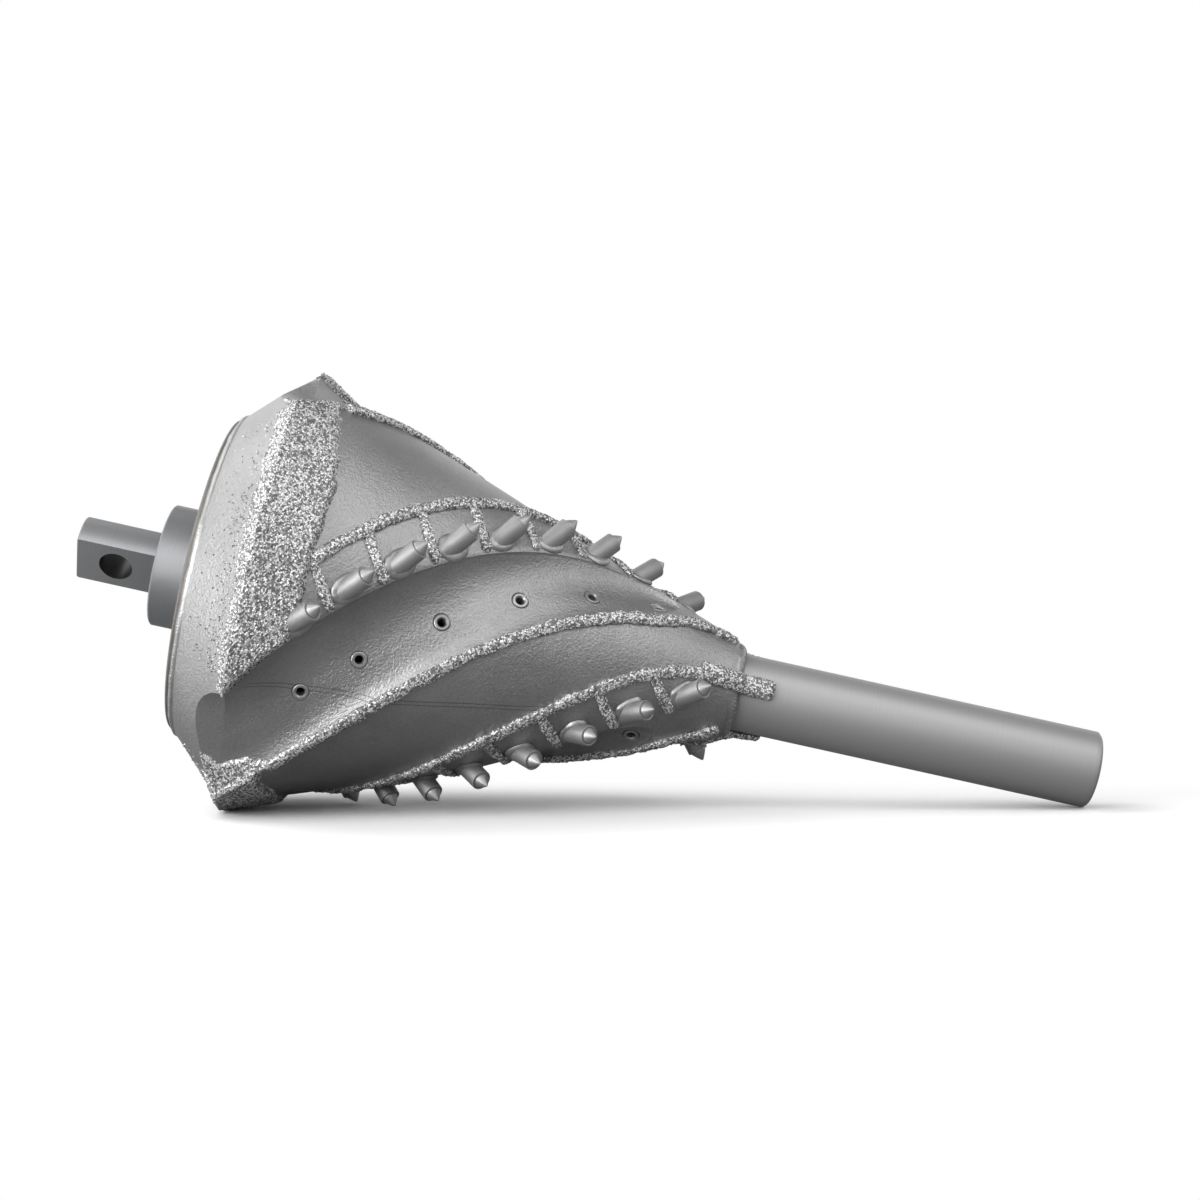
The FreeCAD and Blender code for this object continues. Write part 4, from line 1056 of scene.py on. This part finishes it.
# %% Fins over the nose
def fin_grid(number):
    """A grit-covered bar that runs on from the row bead, over the weld and on to the pipe."""
    length = FIN_REACH - FIN_START
    x = np.linspace(FIN_START, FIN_REACH, int(length / GRAIN_STEP))
    crest = np.interp(x, [FIN_START, NOSE_REACH - 12, NOSE_REACH + 3, NOSE_REACH + 16, FIN_REACH],
                      [cone_radius(FIN_START) + BEAD_HEIGHT,
                       cone_radius(NOSE_REACH - 12) + FIN_HEIGHT,
                       NOSE_RADIUS + FIN_HEIGHT - 4, PIPE_RADIUS + FIN_HEIGHT + 1,
                       PIPE_RADIUS + FIN_HEIGHT - 1])[:, None]
    root = np.where(x < NOSE_REACH, cone_radius(x) - SINK, PIPE_RADIUS + FIT_CLEARANCE)[:, None]
    end = np.clip((FIN_REACH - x) / 4, 0, 1)[:, None]
    half = FIN_WIDTH / 2 * (0.75 + 0.25 * np.sqrt(end))
    crest = root + (crest - root) * (0.55 + 0.45 * np.sqrt(end))
    shoulder = crest - FIN_HEIGHT * 0.6
    turn = np.linspace(-math.pi / 2, math.pi / 2, 19)[None, :]
    wall = np.linspace(0, 1, 5)[1:][None, :]
    radial = np.concatenate([shoulder + (crest - shoulder) * np.cos(turn),
                             shoulder + (root - shoulder) * wall,
                             root + (shoulder - root) * (wall - wall[:, :1])], axis=1)
    across = np.concatenate([half * np.sin(turn), half + 0 * wall, -half + 0 * wall], axis=1)
    angle = row_angle(NOSE_REACH) + FIN_TURN - LOBE_ARC * number
    outward = direction(0.0, 1.0, angle)
    side = np.cross(outward, axis)
    points = (x[:, None, None] * axis + radial[..., None] * outward + across[..., None] * side)
    way = np.concatenate([np.sin(turn), 1 + 0 * wall, -1 + 0 * wall], axis=1)
    lift = np.concatenate([np.cos(turn), 0 * wall, 0 * wall], axis=1)
    push = grit_push(points, SEEDS["fin"] + number, GRAIN_HEIGHT)
    return tube(points + (way[..., None] * side + lift[..., None] * outward) * push[..., None])


for number, letter in enumerate(LOBES):
    new_piece("grit_fin_" + letter, [fin_grid(number)], "hardfacing", "nose_fin_" + letter)

# %% [markdown]
# ## Weld metal
# Each cutter stands in a puddle of smooth weld metal. The pipe and the rear plate are held by
# rippled weld beads.

# %% Cutter welds
PUDDLE_HEIGHT, PUDDLE_MARGIN, UNDERCUT, PUDDLE_NECK = 3.4, 3.6, 0.5, 1.1
PUDDLE_NOISE_RING, UNEVEN_CELL, LUMP_CELL = 12.0, 9.0, 3.5
PUDDLE_PARTS = (1.0, 0.94, 0.86, 0.76, 0.66, 0.56, 0.45, 0.3)
REACH_UNEVEN, REACH_LUMPS, REACH_DOWNHILL, BULGE_POWERS = 0.35, 0.12, 0.45, (3.5, 0.55)
RISE, RISE_UPHILL, RISE_UNEVEN, RISE_LUMPS = 0.8, 0.8, 0.5, 0.5


def puddle_grid(seat, seed):
    """A low mound round the foot of a cutter, uneven in reach, closed underneath."""
    _, point, heading, normal = seat
    _, first, second = square_axes(normal)
    turn = np.linspace(0, 2 * math.pi, 64, endpoint=False)[None, :]
    part = np.array(PUDDLE_PARTS)[:, None]
    lean_way = heading - normal * np.dot(heading, normal)
    lean_way /= np.linalg.norm(lean_way)
    ring = np.cos(turn)[..., None] * first + np.sin(turn)[..., None] * second
    toward = ring @ lean_way
    uneven = soft_noise(point + ring * PUDDLE_NOISE_RING, UNEVEN_CELL, seed)
    foot = CUTTER_RADIUS / np.sqrt(1 - (math.sin(CUTTER_LEAN) * toward) ** 2)
    smear = np.clip(ring @ np.cross(lean_way, normal) * 1.5 - 0.6, 0, 1) * (seed % 3) / 2
    lumps = soft_noise(point + ring * PUDDLE_NOISE_RING, LUMP_CELL, seed + 40)
    uphill = np.cross(axis, normal) * np.sign(np.dot(np.cross(axis, normal), heading))
    downhill = np.clip(-(ring @ uphill), 0, 1)
    reach = foot + PUDDLE_MARGIN * (1 + REACH_UNEVEN * uneven + REACH_LUMPS * lumps + smear
                                    - REACH_DOWNHILL * downhill)
    bulge = np.clip(1 - part ** BULGE_POWERS[0], 0, 1) ** BULGE_POWERS[1]
    height = UNDERCUT + bulge * (PUDDLE_HEIGHT + RISE + RISE_UPHILL * toward
                                 + RISE_UNEVEN * uneven + RISE_LUMPS * lumps)
    drop = (part * reach) ** 2 / (2 * cone_radius(np.dot(point, axis)))
    points = (point + ring * (part * reach)[..., None]
              + normal * (height - drop * (ring @ np.cross(axis, normal)) ** 2)[..., None])
    bottom = point + ring * (0.85 * reach)[..., None] - normal * (SINK + 1.5)
    neck = points[:1] - ring * PUDDLE_NECK - normal * UNDERCUT
    return tube(np.concatenate([bottom, neck, points]))


for number, letter in enumerate(LOBES):
    puddles = [puddle_grid(seat, SEEDS["puddle"] + CUTTERS_PER_ROW * number + count)
               for count, seat in enumerate(row_seats[number])]
    new_piece("cutter_weld_metal_" + letter, puddles, "weld_metal", "cutter_welds_" + letter)

# %% Nose weld and rear weld
NOSE_WELD_LEG, REAR_WELD_LEG, PLATE_RADIUS, RIPPLE = 9.5, 6.0, 161.5, 3.2
WELD_STEP, RIPPLE_DEPTH, RIPPLE_BOW, WELD_UNEVEN, WELD_CELL = 1.3, 0.045, 0.8, 0.12, 12.0
WELD_ROUNDNESS = 0.9


def weld_ring(root_x, root_radius, along_leg, radial_leg, seed):
    """A fillet weld round the axis; its ripples are half-moons that follow the torch."""
    columns = int(2 * math.pi * root_radius / WELD_STEP)
    turn = np.linspace(0, 360, columns, endpoint=False)[None, :]
    slant = np.linspace(0, math.pi / 2, 11)[:, None]
    walk = turn * math.pi / 180 * root_radius
    phase = walk / RIPPLE + RIPPLE_BOW * np.sin(2 * slant)
    arc = 1 + RIPPLE_DEPTH * np.sin(2 * math.pi * phase)
    uneven = soft_noise(direction(0.0 * turn, root_radius, turn), WELD_CELL, seed)
    arc = arc * (1 + WELD_UNEVEN * uneven)
    x = root_x + along_leg * np.sin(slant) ** WELD_ROUNDNESS * arc
    radius = root_radius + radial_leg * np.cos(slant) ** WELD_ROUNDNESS * arc
    skin = direction(x, radius, turn + 0 * slant)
    inner = direction(np.array([[root_x]]), root_radius - 1.0, turn)
    under = direction(np.array([[root_x - np.sign(along_leg) * 0.5]]), root_radius + 1.0, turn)
    return loop(np.concatenate([skin, inner, under]))


nose_ring = weld_ring(NOSE_REACH, PIPE_RADIUS + FIT_CLEARANCE, NOSE_WELD_LEG, NOSE_WELD_LEG,
                      SEEDS["weld"])
rear_ring = weld_ring(-REAR_REACH, PLATE_RADIUS, -REAR_WELD_LEG, REAR_WELD_LEG, SEEDS["weld"] + 1)
new_piece("nose_weld_bead", [nose_ring], "weld_metal", "nose_weld")
new_piece("rear_weld_bead", [rear_ring], "weld_metal", "rear_weld")

# %% [markdown]
# ## Pipe, rear plate and towing eye
# The pipe's open end holds a tapered box thread, five turns to the inch, cut here as a real
# helix. The towing eye is a turned collar and tang, with two flats and a cross hole.

# %% Drive pipe with its thread
PIPE_START, BOX_DEPTH, BOX_COUNTERBORE_RADIUS = 400.0, 92.0, 34.15
BOX_MOUTH_RADIUS, BOX_ROOT_RADIUS, PIPE_BORE_RADIUS, PIPE_BEVEL = 31.7, 22.4, 17.0, 2.5
THREAD_PITCH, THREAD_HEIGHT, THREAD_FADE, PIPE_SEGMENTS = 5.08, 2.6, 6, 96


def pipe_grid():
    """The pipe outside, its bevelled mouth and counterbore, then the thread and the bore."""
    turn = np.linspace(0, 360, PIPE_SEGMENTS, endpoint=False)[None, :]
    outer = [(PIPE_START, PIPE_BORE_RADIUS), (PIPE_START, PIPE_RADIUS)]
    outer += [(x, PIPE_RADIUS) for x in np.linspace(PIPE_START + 60, PIPE_END - 8, 14)]
    outer += [(PIPE_END - back, radius) for back, radius in (
        (PIPE_BEVEL + 0.5, PIPE_RADIUS), (PIPE_BEVEL, PIPE_RADIUS - 0.2),
        (0.3, PIPE_RADIUS - PIPE_BEVEL), (0.0, PIPE_RADIUS - PIPE_BEVEL - 0.4),
        (0.0, BOX_COUNTERBORE_RADIUS + 0.6), (0.6, BOX_COUNTERBORE_RADIUS),
        (COUNTERBORE_DEPTH, BOX_COUNTERBORE_RADIUS))]
    outer = np.array(outer)
    rows = np.linspace(0, BOX_DEPTH - COUNTERBORE_DEPTH, 190)[:, None]
    taper = BOX_MOUTH_RADIUS + (BOX_ROOT_RADIUS - BOX_MOUTH_RADIUS) * rows / rows[-1]
    tooth = np.abs((rows / THREAD_PITCH + turn / 360) % 1 - 0.5) * 2
    depth = THREAD_HEIGHT * np.clip(tooth * 1.5 - 0.25, 0, 1)
    fade = np.clip(np.minimum(rows, rows[-1] - rows) / THREAD_FADE, 0, 1)
    thread_radius = taper + depth * fade - THREAD_HEIGHT / 2 * fade
    thread = direction(PIPE_END - COUNTERBORE_DEPTH - rows, thread_radius, turn + 0 * rows)
    shell = direction(outer[:, :1], outer[:, 1:], turn)
    bore = direction(np.array([[PIPE_END - BOX_DEPTH]]), PIPE_BORE_RADIUS, turn)
    return loop(np.concatenate([shell, thread, bore]))


new_piece("drive_pipe_tube", [pipe_grid()], "pipe_steel", "drive_pipe")

# %% Rear plate and towing eye
for node, slot_name in (("rear_plate", "plate_steel"), ("tow_eye", "machined_steel")):
    solid = frame["nodes"][node]
    solid.data.materials.clear()
    solid.data.materials.append(finishes[slot_name])
